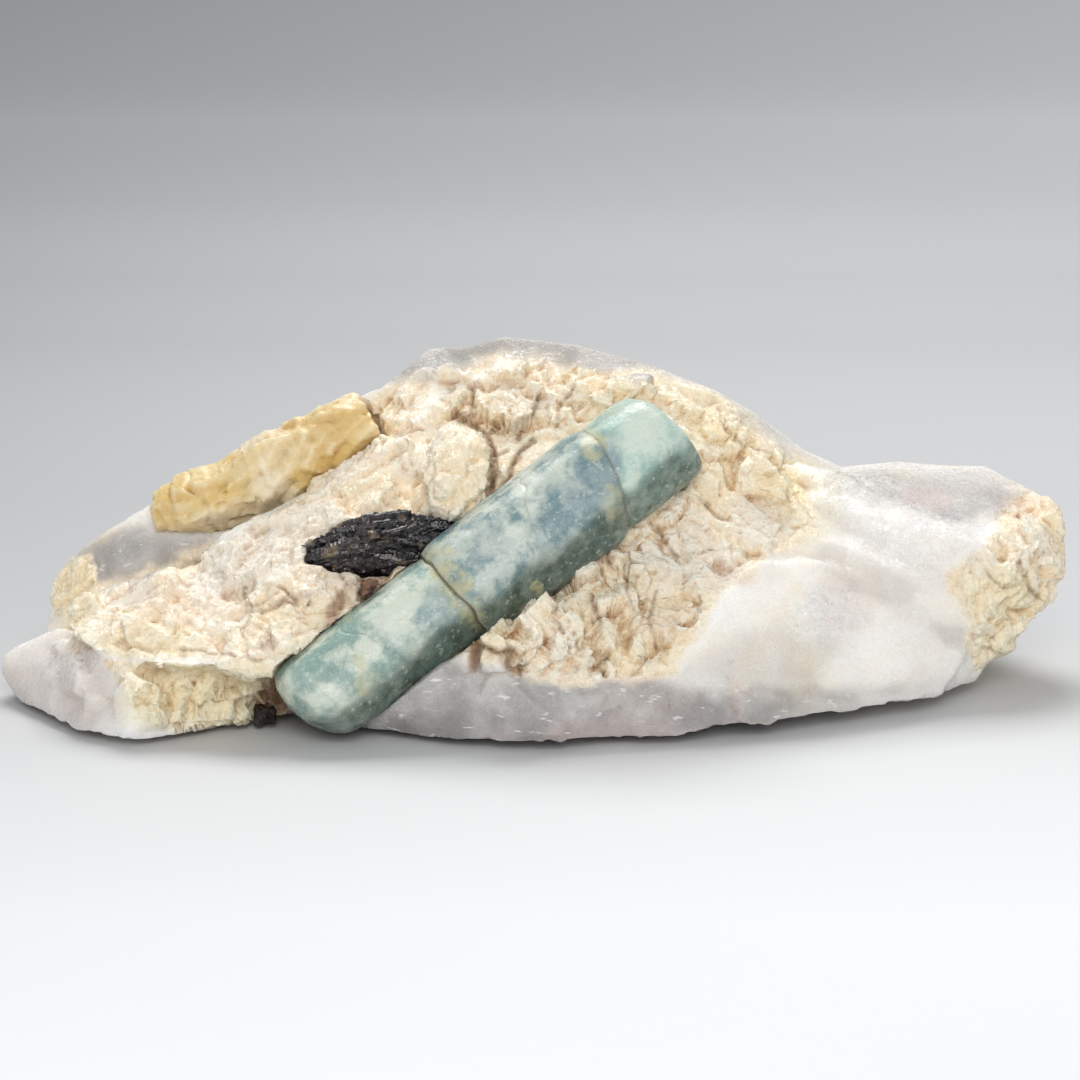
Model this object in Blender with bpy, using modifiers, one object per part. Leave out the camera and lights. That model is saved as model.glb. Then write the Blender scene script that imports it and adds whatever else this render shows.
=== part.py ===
"""Aquamarine crystal lying across its matrix of white quartz and cream feldspar.

A cabinet specimen, 180 mm long. The matrix is one rock: masses of quartz behind, below and to the right,
and a band of broken feldspar blocks across the front. A six-sided aquamarine, cracked twice across, is set
slantwise in the feldspar. A smaller yellow crystal lies along the ridge on the left, and there are two
patches of black mica and one brown grain.

X runs along the rock, Y away from the side with the aquamarine, Z up. Sizes below are in millimetres.
"""

import math

import bmesh
import bpy
from mathutils import Matrix, Vector, noise

MM = 0.001

# How closely two pieces meet, and the size of the block that trims the rock at the table's level
GAP = 0.3
TRIM_BLOCK = (300.0, 200.0, 20.0)
# How far each bed is opened out of the rock, and how much wider it is there
CRYSTAL_BED_REACH, CRYSTAL_BED_SPREAD = 24.0, 1.1
YELLOW_BED_REACH, YELLOW_BED_SPREAD = 16.0, 1.2
MICA_BED_REACH, MICA_BED_SLACK = 12.0, 0.3
GRAIN_SEAT_REACH, GRAIN_SEAT_SLACK = (0.0, -10.0, 2.0), 0.8

# The aquamarine: where its axis starts and ends, and its three lengths between the cracks
AXIS_LOW = (-36.6, -35.5, 6.4)
AXIS_HIGH = (20.8, -11.5, 46.0)
CRYSTAL_ROLL = 15.0
CRYSTAL_EDGE = 2.2
# Each length: its share of the axis from and to, the radius at each end, how far it stands off the axis
# towards the viewer and to the lower right, and the slant of its two ends
CRYSTAL_LENGTHS = (
    ((0.000, 0.385), (8.5, 8.6), (0.0, 0.0), (0.22, 0.0)),
    ((0.380, 0.820), (9.7, 10.0), (0.3, 0.3), (0.0, -0.26)),
    ((0.814, 1.000), (9.4, 9.0), (0.5, 0.1), (-0.26, 0.14)),
)
VIEWER_SIDE = Vector((0.0, -0.974, 0.225))

# The yellow crystal: stations along it, as a place and a radius
YELLOW_STATIONS = (
    ((-65.0, 1.5, 29.4), 3.9),
    ((-60.5, 1.0, 30.4), 5.2),
    ((-54.5, 0.0, 32.4), 6.0),
    ((-46.0, 0.0, 36.6), 6.8),
    ((-38.0, 0.5, 41.0), 6.4),
    ((-29.0, 2.0, 45.6), 5.8),
)
YELLOW_ROLL = 20.0
YELLOW_EDGE = 0.9

# Black mica: a spindle of leaves in the feldspar, and a flake in the hollow under the aquamarine's low end
MICA_MIDDLE = (-25.5, -20.6, 28.6)
MICA_LENGTH, MICA_HEIGHT, MICA_DEPTH = 26.0, 8.6, 7.0
MICA_LEAVES = 9
MICA_SLOPE, MICA_SKEW = 13.0, 4.0
FLAKE_MIDDLE = (-44.6, -28.0, 2.3)
FLAKE_SIZE = (4.0, 3.0, 3.0)
GRAIN_MIDDLE = (-27.3, -29.0, 23.6)
GRAIN_SIZE = (3.8, 3.2, 3.8)

# The matrix: how fine it is worked, its face count, and the size of the broken blocks of feldspar
WORK_GRAIN = 1.0
FACES = 6400
ROUNDING_PASSES = 2
WEAR_PASSES = 1
BLOCK_SIZE, BLOCK_LEVEL, BLOCK_SLOPE = 6.8, 1.3, 1.9
SWELL_SIZE, SWELL_LEVEL = 26.0, 0.9

# The masses that make up the matrix, each given by its corners
MASSES = {
    "dome": [
        (-25, 8, 51.5), (-19, 10, 56), (-10, 13, 57.5), (0, 14, 57.5), (10, 15, 56), (19, 15, 52.5),
        (28, 14, 48.7), (36, 14, 43.7), (45, 15, 38), (53, 18, 35), (-34, 30, 40), (-12, 36, 44),
        (18, 37, 41), (44, 36, 28), (-40, 41, 12), (0, 42, 16), (40, 41, 10), (-34, 38, -6),
        (44, 36, -6), (-34, -18, -6), (46, -16, -6), (-30, -14, 24), (40, -12, 24),
    ],
    "right_back": [
        (52, 20, 35), (64, 26, 34.2), (73, 25, 33.6), (81, 21, 32.8), (55, 3, 34), (61, 0, 31.6),
        (69, -3, 28.2), (80, -5, 25.6), (86, 14, 30), (88, 6, 24), (84, 0, 14), (76, -6, 8),
        (80, 22, 16), (70, 33, 14), (50, 38, 12), (44, 36, -5), (66, 24, -3), (64, -6, -2),
    ],
    "right_end": [
        (82, 17, 31.8), (86.5, 15, 31), (89.6, 10, 28.6), (90.6, 6, 23.8), (90, 2, 20), (88.4, -1, 15.8),
        (86, -3.5, 13), (80, -6, 11), (77, -12, 21), (80, -9, 25), (72, -13, 14), (84, 14, 13),
    ],
    "right_tongue": [
        (78.4, -7.5, 7), (80, -5, 11), (73.5, -9.5, 3.4), (70, -13, 10), (76, 6, 5), (66, 4, 2), (72, 0, 14),
        (68, -15, 12), (74, -12, 14), (66, -14, 6),
    ],
    "ridge_upper": [
        (42, 3, 39), (52, -1, 36), (64, -5.5, 30.8), (76, -10, 25.6), (44, -8, 34.4), (57, -11, 28.4),
        (71, -13, 19.5), (50, 12, 12), (72, 6, 12),
    ],
    "ridge_lower": [
        (42, -14.5, 30.4), (54, -16.5, 25), (65, -15.5, 18.6), (73, -13, 13.6), (45, -10, 31), (60, -12, 25),
        (72, -11, 16), (60, 4, 10), (44, 4, 14),
    ],
    "middle_ridge": [
        (40, 4, 38), (50.5, -2, 34.4), (64, -6, 28.6), (77, -10, 23.6), (42, -16, 28.5), (56, -17, 21.5),
        (70, -14, 13), (76, -12, 16), (44, 16, 8), (72, 10, 8),
    ],
    "right_front": [
        (25, -25, 25), (36, -22, 27), (46, -19.5, 26), (58, -17, 20), (70.5, -13.5, 11.5), (71.2, -14.5, 9),
        (66.5, -18.5, 4), (59, -22.5, 2), (50.5, -27, 1), (42.5, -31.5, -1.5), (34, -35, -2), (25, -37.5, -2),
        (16, -37.5, 9), (26, -33, 16.5), (44, -28.5, 14), (58, -23, 10), (30, -6, -4), (60, -2, 2), (30, 0, 22),
    ],
    "right_sole": [
        (74, -7, 0.9), (69, -11, -0.6), (60, -16.5, -1.6), (52, -22, -2.2), (66, -17, 4.4), (50, -24, 3.2),
        (74, -9.5, 4.5), (76, 6, 4), (60, 16, -4), (44, -8, -4),
    ],
    "low_front": [
        (-31.5, -27, -1), (-27.5, -31, -1.5), (-14.5, -35, -1.5), (-6.5, -38.5, -2), (1, -41.5, -2),
        (6, -39.5, -1), (12, -38, 0), (-27, -29.5, 3.5), (-18, -34.2, 9.5), (-9, -36.5, 11.5), (4, -39, 10.5),
        (16, -38.5, 9), (1, -42, 3), (-30, -8, -4), (18, -12, -4), (0, -18, 18), (-29, -34.5, 6.5),
        (-20, -36.5, 12), (-11, -36.5, 15.5),
    ],
    "low_middle": [
        (6, -37, -3), (15, -38.5, -3), (26, -37.6, -3), (34, -34.5, -3), (16, -38.6, 6), (28, -35, 8),
        (10, -10, -3),
    ],
    "centre": [
        (-25, 4, 51), (-18.5, 4.5, 54), (-7, 5, 55), (3.5, 3.5, 53.8), (13.5, 2.5, 53.2), (23.5, 0.5, 50.4),
        (33.5, -0.5, 45), (43.5, -3.5, 36.6), (46, -13.5, 27.6), (26, -27.5, 20.5), (24, -31, 16),
        (16, -38.2, 10.5), (3, -39, 11.2), (-8, -38, 12.2), (-10, -30, 22), (-16, 8, 18), (34, 6, 18),
    ],
    "ramp": [
        (-61.5, -12.5, 21), (-55, -10.5, 26), (-47, -8.5, 30), (-40, -6, 34.3), (-34.5, -4, 37.8),
        (-28.5, -2, 42.3), (-18.5, 3, 50), (-50, -38.5, 13), (-44, -39, 11.8), (-37, -35.5, 16.5),
        (-31, -31, 21.5), (-12, -28, 25), (-18, 8, 10), (-46, 2, 8), (-50, -30, 9.5),
    ],
    "left_lump": [
        (-79.2, -19.5, 16.8), (-76, -16, 19), (-71, -14, 20.6), (-61.5, -12.5, 22.2), (-52, -11, 24.5),
        (-76, -27.5, 15), (-69, -33.5, 13.2), (-58, -37.5, 12.8), (-48, -38.5, 12.6), (-46, -28, 21.5),
        (-68, -8, 10), (-48, -2, 10), (-60, -30, 9.5),
    ],
    "left_low": [
        (-91, -8, 6.6), (-91, -10, 5.6), (-83.5, -10, 11), (-79.5, -14, 14.4), (-69, -32.5, 13.2),
        (-65.5, -37.2, 11), (-66, -39.6, 3), (-67.5, -39.6, -1), (-74, -35.6, -1), (-80.5, -25, -1),
        (-86, -16, -0.5), (-88, -12, 2), (-61.5, -39, -0.5), (-61, -37, 9), (-58, 2, -3), (-80, 4, 4),
    ],
    "left_low_inner": [
        (-62, -38.5, -0.8), (-56, -35.6, 0.4), (-48.5, -31, 0.4), (-42, -25.5, 0.2), (-60, -33.5, 10.5),
        (-50, -31, 11), (-40, -26, 11), (-54, -10, -3), (-36, -8, -3), (-44, -10, 14),
    ],
    "left_back": [
        (-67, 4.5, 30), (-58, 4.5, 33.5), (-49, 4.5, 39.5), (-40.5, 4.5, 45), (-32, 5, 49), (-24, 7, 51.5),
        (-72, 4, 25.4), (-79.5, 4, 22.2), (-83.8, 4, 17), (-84.2, 2, 12.2), (-84.6, -3, 8), (-76, -4.5, 15),
        (-68, -4, 17), (-56, -2.5, 23), (-44, -2, 28), (-66, 24, 22), (-50, 32, 26), (-30, 34, 38),
        (-74, 24, 4), (-52, 38, 8), (-34, 40, 4), (-80, 10, -3), (-44, 34, -5),
    ],
    "left_foot": [
        (-73, -29, -3), (-66, -34, -3), (-46, -25, -3), (-30, -24, -3), (-80, 6, -3), (-62, 30, -3),
        (-28, 37, -3), (-74, -20, 8), (-60, -26, 8), (-40, -18, 12), (-77, 6, 9), (-60, 28, 10), (-28, 34, 14),
    ],
    "right_foot": [
        (20, -28, -3), (54, -12, -3), (64, 8, -3), (60, 26, -3), (38, 38, -3), (24, -24, 8), (58, -6, 8),
        (66, 16, 10), (42, 34, 10), (0, 20, -3),
    ],
    "stub": [
        (-18, -12.5, 42), (-16.5, -11, 45.5), (-12.5, -10.8, 46.8), (-9, -13, 44.6), (-8, -15.6, 40),
        (-9.4, -20.4, 34), (-13, -21.4, 33), (-17, -20.4, 33.6), (-19, -16.8, 38), (-13, -17.4, 41.5),
        (-14, -4, 36),
    ],
    "block_under_crystal": [
        (-9, -36.8, 22), (-2, -32, 26.5), (3, -33.5, 23.5), (-3, -39.5, 15), (-9.4, -39.2, 14.5),
        (2, -37.5, 15.5), (0, -26, 18),
    ],
}

# The band of feldspar: rods of it, as two ends and a radius, and how softly it gives way to quartz
FELDSPAR_RODS = (
    ((-74, -26, 14), (-50, -30, 17), 12.0),
    ((-50, -26, 20), (-20, -12, 40), 17.0),
    ((-16, -2, 52), (16, -6, 48), 10.5),
    ((-4, -30, 24), (14, -24, 28), 18.0),
    ((18, -8, 44), (36, -8, 36), 13.0),
    ((84, 4, 26), (82, -4, 12), 10.5),
    ((-58, -34, 6), (-44, -28, 6), 7.0),
)
FELDSPAR_EDGE = 5.0
# The stub crystal in the feldspar, which stays smooth: its two ends and radius
STUB_ROD = ((-13, -11, 45), (-13, -17, 35), 6.5)

COLOURS = {
    "matrix": ((0.78, 0.72, 0.64), 0.55),
    "aquamarine_crystal": ((0.29, 0.49, 0.50), 0.30),
    "yellow_crystal": ((0.78, 0.62, 0.34), 0.40),
    "biotite_patch": ((0.03, 0.027, 0.03), 0.30),
    "biotite_flake": ((0.04, 0.028, 0.025), 0.35),
    "brown_grain": ((0.20, 0.09, 0.06), 0.45),
}


def clear_scene():
    for old in list(bpy.data.objects):
        bpy.data.objects.remove(old, do_unlink=True)


def new_collection(name):
    made = bpy.data.collections.new(name)
    bpy.context.scene.collection.children.link(made)
    return made


def material_for(name):
    """A plain Principled finish in the piece's own colour."""
    colour, roughness = COLOURS[name]
    made = bpy.data.materials.new(name)
    made.use_nodes = True
    shader = made.node_tree.nodes["Principled BSDF"]
    shader.inputs["Base Color"].default_value = (*colour, 1)
    shader.inputs["Roughness"].default_value = roughness
    return made


def object_from(work, name, collection):
    """A finished bmesh as an object of that name, its faces pointing out."""
    bmesh.ops.recalc_face_normals(work, faces=work.faces)
    mesh = bpy.data.meshes.new(name)
    work.to_mesh(mesh)
    work.free()
    made = bpy.data.objects.new(name, mesh)
    collection.objects.link(made)
    if name in COLOURS:
        mesh.materials.append(material_for(name))
    return made


def evaluated_mesh(source):
    """The object's mesh with its modifiers carried out."""
    graph = bpy.context.evaluated_depsgraph_get()
    return bpy.data.meshes.new_from_object(source.evaluated_get(graph))


def settle(source):
    """Carries out the object's modifiers on its own mesh."""
    mesh = evaluated_mesh(source)
    source.modifiers.clear()
    source.data = mesh
    return source


def join_shapes(target, shapes):
    """Unites the shapes with the target in one solid."""
    for shape in shapes:
        union = target.modifiers.new("join", "BOOLEAN")
        union.operation = "UNION"
        union.object = shape
    settle(target)
    for shape in shapes:
        bpy.data.objects.remove(shape, do_unlink=True)
    return target


def cut_from(target, cutter, solver="EXACT"):
    """Takes the cutter's shape out of the target. The cutter stays as a guide."""
    cutter.hide_render = True
    cutter.display_type = "WIRE"
    cut = target.modifiers.new("cut " + cutter.name, "BOOLEAN")
    cut.operation = "DIFFERENCE"
    cut.solver = solver
    cut.object = cutter
    settle(target)


def add_hull(work, corners):
    """Adds the smallest convex solid round the corners, given in millimetres."""
    spots = [work.verts.new(Vector(corner) * MM) for corner in corners]
    made = bmesh.ops.convex_hull(work, input=spots)
    loose = set(made["geom_interior"]) | set(made["geom_unused"])
    bmesh.ops.delete(work, geom=[v for v in loose if isinstance(v, bmesh.types.BMVert)], context="VERTS")


def prism(low, high, radii, roll, edge, out, slants=(0.0, 0.0), rounds=2):
    """A six-sided prism between two places in millimetres, all its edges rounded by edge.

    With no roll one of its flat sides faces out. The slants tip its two ends about the way out.
    """
    low, high = Vector(low) * MM, Vector(high) * MM
    along = (high - low).normalized()
    across = along.cross(out).normalized()
    facing = across.cross(along)
    work = bmesh.new()
    bmesh.ops.create_cone(
        work, cap_ends=True, segments=6, radius1=radii[0] * MM, radius2=radii[1] * MM, depth=(high - low).length
    )
    half_side = math.tau / 12
    bmesh.ops.transform(work, matrix=Matrix.Rotation(math.radians(roll) + half_side, 4, "Z"), verts=work.verts)
    for v in work.verts:
        v.co.z += v.co.x * (slants[0] if v.co.z < 0 else slants[1])
    bmesh.ops.bevel(work, geom=list(work.edges), offset=edge * MM, segments=rounds, profile=0.5, affect="EDGES")
    turn = Matrix((across, facing, along)).transposed().to_4x4()
    bmesh.ops.transform(work, matrix=Matrix.Translation((low + high) / 2) @ turn, verts=work.verts)
    return work


def aquamarine_lengths(swell=0.0, shift=Vector((0, 0, 0)), wider=1.0):
    """The three lengths of the aquamarine as prisms. swell, shift and wider make the pocket's cutters."""
    low, high = Vector(AXIS_LOW), Vector(AXIS_HIGH)
    axis = high - low
    along = axis.normalized()
    beside = along.cross(VIEWER_SIDE).normalized()
    facing = beside.cross(along)
    made = []
    for (start, end), (radius_start, radius_end), (off_out, off_beside), slants in CRYSTAL_LENGTHS:
        off = facing * off_out + beside * off_beside + shift
        first = low + axis * start + off - along * swell
        last = low + axis * end + off + along * swell
        radii = ((radius_start + swell) * wider, (radius_end + swell) * wider)
        made.append(prism(first, last, radii, CRYSTAL_ROLL, CRYSTAL_EDGE, VIEWER_SIDE, slants, rounds=3))
    return made


def rock_face_normal():
    """The way that the broken front of the rock faces: towards the viewer and up."""
    return Vector((0.0, -0.72, 0.69)).normalized()


def build_aquamarine(parts):
    first, *others = [
        object_from(work, name, parts)
        for work, name in zip(aquamarine_lengths(), ("aquamarine_crystal", "middle", "top"))
    ]
    return join_shapes(first, others)


def sweep_hull(solids, name, guides):
    """One cutter for each pair of a shape and the same shape moved out: the convex solid round both."""
    made = []
    for near, far in solids:
        work = bmesh.new()
        add_hull(work, [v.co / MM for v in near.verts] + [v.co / MM for v in far.verts])
        near.free()
        far.free()
        made.append(object_from(work, name, guides))
    return made


def aquamarine_pocket(guides):
    """The bed of the aquamarine, open towards the viewer and widening outwards."""
    near = aquamarine_lengths(swell=GAP)
    far = aquamarine_lengths(GAP, VIEWER_SIDE * CRYSTAL_BED_REACH, CRYSTAL_BED_SPREAD)
    first, *others = sweep_hull(zip(near, far), "aquamarine bed", guides)
    return join_shapes(first, others)


def yellow_lengths(swell=0.0, shift=Vector((0, 0, 0)), wider=1.0):
    """The yellow crystal as a row of short prisms, a little off one another."""
    up = Vector((0.0, -0.75, 0.66)).normalized()
    made = []
    for number, (start, end) in enumerate(zip(YELLOW_STATIONS, YELLOW_STATIONS[1:])):
        low, high = Vector(start[0]), Vector(end[0])
        along = (high - low).normalized()
        off = up * (0.5 if number % 2 else -0.1) + shift
        radii = ((start[1] + swell) * wider, (end[1] + swell) * wider)
        overlap = along * (0.5 + swell)
        roll = YELLOW_ROLL + 7 * number
        made.append(prism(low + off - overlap, high + off + overlap, radii, roll, YELLOW_EDGE, up))
    return made


def build_yellow(parts):
    first, *others = [
        object_from(work, "yellow_crystal" if number == 0 else "length", parts)
        for number, work in enumerate(yellow_lengths())
    ]
    return join_shapes(first, others)


def yellow_pocket(guides):
    out = Vector((0.0, -0.6, 0.8))
    near = yellow_lengths(swell=GAP)
    far = yellow_lengths(GAP, out * YELLOW_BED_REACH, YELLOW_BED_SPREAD)
    first, *others = sweep_hull(zip(near, far), "yellow bed", guides)
    return join_shapes(first, others)


def mica_frame():
    """Turns the mica's own X to its length, Y into the rock and Z across its leaves."""
    out = rock_face_normal()
    slope = math.radians(MICA_SLOPE)
    along = Vector((math.cos(slope), 0.0, math.sin(slope)))
    along = (along - out * along.dot(out)).normalized()
    across = along.cross(-out).normalized()
    turn = Matrix((along, -out, across)).transposed().to_4x4()
    return Matrix.Translation(Vector(MICA_MIDDLE) * MM) @ turn


def mica_leaves(swell=0.0):
    """Leaves of mica stacked to a spindle, each a thin hull, longest in the middle."""
    made = []
    step = MICA_HEIGHT / MICA_LEAVES
    for leaf in range(MICA_LEAVES):
        level = (leaf + 0.5) * step - MICA_HEIGHT / 2
        share = math.sqrt(1 - 0.9 * (level / (MICA_HEIGHT / 2)) ** 2)
        half_long = MICA_LENGTH / 2 * share + swell
        half_high = step * 0.62 + swell
        slide = MICA_LENGTH * 0.05 * math.sin(2.4 * leaf)
        proud = MICA_DEPTH / 2 * (0.7 + 0.3 * share + 0.08 * math.cos(3.1 * leaf)) + swell
        deep = MICA_DEPTH / 2 + swell
        corners = []
        for side in (-1, 1):
            for height in (-half_high, half_high):
                corners.append((slide + side * half_long, -proud * 0.45, level + height * 0.6))
                corners.append((slide + side * half_long * 0.6, -proud, level + height))
                corners.append((slide + side * half_long * 0.7, deep, level + height))
        work = bmesh.new()
        add_hull(work, corners)
        askew = Matrix.Rotation(math.radians(MICA_SKEW * math.sin(4.3 * leaf)), 4, "Y")
        bmesh.ops.transform(work, matrix=mica_frame() @ askew, verts=work.verts)
        made.append(work)
    return made


def build_mica(parts):
    first, *others = [
        object_from(work, "biotite_patch" if number == 0 else "leaf", parts)
        for number, work in enumerate(mica_leaves())
    ]
    return join_shapes(first, others)


def mica_pocket(guides):
    """The hollow that the mica sits in, open towards the viewer."""
    work = bmesh.new()
    outline = mica_leaves(swell=GAP + MICA_BED_SLACK)
    out = rock_face_normal() * MM
    corners = [v.co.copy() for leaf in outline for v in leaf.verts]
    for leaf in outline:
        leaf.free()
    spread = [corner + out * MICA_BED_REACH for corner in corners]
    add_hull(work, [corner / MM for corner in corners + spread])
    return object_from(work, "mica bed", guides)


def grain(middle, size, swell, seed):
    """A small angular lump: the hull of jittered corners of a box."""
    half = [side / 2 + swell for side in size]
    work = bmesh.new()
    corners = []
    for x in (-1, 1):
        for y in (-1, 1):
            for z in (-1, 1):
                shake = noise.cell_vector(Vector((x, y, z)) * 3.7 + Vector((seed, 0, 0)))
                corners.append(
                    Vector(middle)
                    + Vector((x * half[0], y * half[1], z * half[2])) * (0.72 + 0.2 * shake.x)
                )
        corners.append(Vector(middle) + Vector((x * half[0], 0, 0)))
        corners.append(Vector(middle) + Vector((0, x * half[1], 0)))
        corners.append(Vector(middle) + Vector((0, 0, x * half[2])))
    add_hull(work, corners)
    return work


def grain_pocket(middle, size, seed, guides, name):
    """The seat of a grain, open towards the viewer."""
    near = grain(middle, size, GAP, seed)
    far = grain(Vector(middle) + Vector(GRAIN_SEAT_REACH), size, GAP + GRAIN_SEAT_SLACK, seed)
    return sweep_hull([(near, far)], name, guides)[0]


def rod_distance(spot, low, high):
    """How far a place is from the straight line between two others."""
    low, high = Vector(low), Vector(high)
    rod = high - low
    along = min(1.0, max(0.0, (spot - low).dot(rod) / rod.length_squared))
    return (spot - low - rod * along).length


def feldspar_share(spot):
    """From 0 in quartz to 1 in feldspar, at a place in millimetres."""
    ragged = noise.noise(spot / 9.0) * 3.5
    share = 0.0
    for low, high, radius in FELDSPAR_RODS:
        inside = radius + ragged - rod_distance(spot, low, high)
        share = max(share, min(1.0, inside / FELDSPAR_EDGE + 0.5))
    low, high, radius = STUB_ROD
    return share * min(1.0, max(0.0, rod_distance(spot, low, high) - radius + 0.5))


def block_level(spot):
    """How far a broken feldspar block stands out at a place: each block has its own level and slope."""
    scaled = Vector((spot.x, spot.y, spot.z * 0.7)) / BLOCK_SIZE
    seed = noise.voronoi(scaled)[1][0]
    own = noise.cell_vector(seed * 9.7 + Vector((3.1, 1.7, 5.3))) * 2 - Vector((1, 1, 1))
    return BLOCK_LEVEL * own.x + BLOCK_SLOPE * own.dot(scaled - seed)


def work_surface(mesh):
    """Breaks the feldspar into blocks, and gives the quartz long low swells."""
    work = bmesh.new()
    work.from_mesh(mesh)
    work.normal_update()
    moves = []
    for v in work.verts:
        spot = v.co / MM
        share = feldspar_share(spot)
        swell = noise.noise(spot / SWELL_SIZE) * SWELL_LEVEL
        moves.append(v.normal * MM * (share * block_level(spot) + (1 - share) * swell))
    for v, move in zip(work.verts, moves):
        v.co += move
    work.to_mesh(mesh)
    work.free()


def build_matrix(parts, guides, crystal_bed):
    """Fuses the masses, works their surface, thins it to flat facets, and cuts the beds and the foot."""
    work = bmesh.new()
    for corners in MASSES.values():
        add_hull(work, corners)
    matrix = object_from(work, "matrix", parts)
    fuse = matrix.modifiers.new("fuse", "REMESH")
    fuse.mode = "VOXEL"
    fuse.voxel_size = WORK_GRAIN * MM
    ease = matrix.modifiers.new("ease", "SMOOTH")
    ease.iterations = ROUNDING_PASSES
    settle(matrix)
    matrix.data.materials.clear()
    matrix.data.materials.append(material_for("matrix"))
    work_surface(matrix.data)
    wear = matrix.modifiers.new("wear", "SMOOTH")
    wear.iterations = WEAR_PASSES
    settle(matrix)
    thin = matrix.modifiers.new("facet", "DECIMATE")
    thin.ratio = FACES / sum(len(face.vertices) - 2 for face in matrix.data.polygons)
    settle(matrix)

    # The exact solver loses the whole rock on this one cut
    cut_from(matrix, crystal_bed, "MANIFOLD")
    cut_from(matrix, yellow_pocket(guides))
    cut_from(matrix, mica_pocket(guides))
    cut_from(matrix, grain_pocket(FLAKE_MIDDLE, FLAKE_SIZE, 1, guides, "flake seat"))
    cut_from(matrix, grain_pocket(GRAIN_MIDDLE, GRAIN_SIZE, 2, guides, "grain seat"))
    below = bmesh.new()
    bmesh.ops.create_cube(below, size=MM)
    bmesh.ops.scale(below, vec=TRIM_BLOCK, verts=below.verts)
    bmesh.ops.translate(below, vec=(0, 0, -TRIM_BLOCK[2] / 2 * MM), verts=below.verts)
    cut_from(matrix, object_from(below, "table level", guides))
    return matrix


def centre_on_foot(parts):
    """Slides every piece alike, so that the origin is under the middle of the whole specimen."""
    corners = [v.co for piece in parts.objects for v in piece.data.vertices]
    middle_x = (min(c.x for c in corners) + max(c.x for c in corners)) / 2
    middle_y = (min(c.y for c in corners) + max(c.y for c in corners)) / 2
    slide = Matrix.Translation((-middle_x, -middle_y, 0))
    for piece in parts.objects:
        piece.data.transform(slide)


def main():
    clear_scene()
    parts = new_collection("aquamarine specimen")
    guides = new_collection("cutters")
    crystal_bed = aquamarine_pocket(guides)
    build_matrix(parts, guides, crystal_bed)
    build_aquamarine(parts)
    build_yellow(parts)
    cut_from(build_mica(parts), crystal_bed)
    object_from(grain(FLAKE_MIDDLE, FLAKE_SIZE, 0, 1), "biotite_flake", parts)
    cut_from(object_from(grain(GRAIN_MIDDLE, GRAIN_SIZE, 0, 2), "brown_grain", parts), crystal_bed)
    centre_on_foot(parts)


main()
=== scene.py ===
import math

import bmesh
import bpy
import numpy as np
from mathutils import Matrix, Vector


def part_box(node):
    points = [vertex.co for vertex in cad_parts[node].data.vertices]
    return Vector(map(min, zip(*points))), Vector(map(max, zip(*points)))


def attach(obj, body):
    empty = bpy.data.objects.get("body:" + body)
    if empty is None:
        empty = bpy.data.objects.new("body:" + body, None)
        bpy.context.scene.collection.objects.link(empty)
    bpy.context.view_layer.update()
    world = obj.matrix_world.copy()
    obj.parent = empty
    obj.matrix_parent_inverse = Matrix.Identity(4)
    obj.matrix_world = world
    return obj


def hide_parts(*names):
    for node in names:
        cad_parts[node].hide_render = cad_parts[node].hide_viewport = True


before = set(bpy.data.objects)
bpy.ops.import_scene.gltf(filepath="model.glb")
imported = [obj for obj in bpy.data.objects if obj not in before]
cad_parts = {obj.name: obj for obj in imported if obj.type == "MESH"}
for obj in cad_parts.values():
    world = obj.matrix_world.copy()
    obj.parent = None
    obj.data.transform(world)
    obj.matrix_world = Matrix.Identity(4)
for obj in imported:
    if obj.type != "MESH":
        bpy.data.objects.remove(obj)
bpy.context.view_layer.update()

# The camera
# It stands half a metre in front of the rock and looks a little down on it, through a long lens, as the
# specimen was photographed.

MM = 0.001
LOOK_DOWN = math.radians(13.0)
CAMERA_DISTANCE = 510.0
AIM_HEIGHT = 25.0
LENS, SENSOR = 100.0, 36.0
PICTURE_WIDE = 1080.0

camera_data = bpy.data.cameras.new("photographer")
camera_data.lens = LENS
camera_data.sensor_width = SENSOR
camera_data.clip_start = 0.01
camera = bpy.data.objects.new("photographer", camera_data)
camera.location = (
    0,
    -CAMERA_DISTANCE * math.cos(LOOK_DOWN) * MM,
    (AIM_HEIGHT + CAMERA_DISTANCE * math.sin(LOOK_DOWN)) * MM,
)
camera.rotation_euler = (math.pi / 2 - LOOK_DOWN, 0, 0)
bpy.context.scene.collection.objects.link(camera)
bpy.context.scene.camera = camera


# The rock
# One lump of pegmatite: white to grey quartz that broke in smooth curved faces, and across the front a band
# of cream feldspar that broke in small steps along its cleavage. The modelled rock is cut finer here, and
# each grain of feldspar gets its own direction of steps.

ROCK_VOXEL = 0.00041
ROCK_FACES = 195000


def pick(piece):
    """Makes the piece the only one picked, and the one that operators work on."""
    bpy.ops.object.select_all(action="DESELECT")
    piece.select_set(True)
    bpy.context.view_layer.objects.active = piece


def copy_of_node(node, name):
    """A mesh copy of a modelled solid, its loose triangles merged, ready to be worked on."""
    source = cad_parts[node]
    made = bpy.data.objects.new(name, source.data.copy())
    bpy.context.scene.collection.objects.link(made)
    made.data.materials.clear()
    pick(made)
    bpy.ops.object.mode_set(mode="EDIT")
    bpy.ops.mesh.select_all(action="SELECT")
    bpy.ops.mesh.remove_doubles(threshold=0.00001)
    bpy.ops.mesh.customdata_custom_splitnormals_clear()
    bpy.ops.object.mode_set(mode="OBJECT")
    return made


def apply_modifiers(piece):
    """Carries out the piece's modifiers in order."""
    bpy.context.view_layer.objects.active = piece
    for modifier in list(piece.modifiers):
        bpy.ops.object.modifier_apply(modifier=modifier.name)


def cut_fine(piece, voxel):
    """Remakes the piece's surface in even small faces."""
    fine = piece.modifiers.new("fine", "REMESH")
    fine.mode = "VOXEL"
    fine.voxel_size = voxel
    apply_modifiers(piece)


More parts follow.
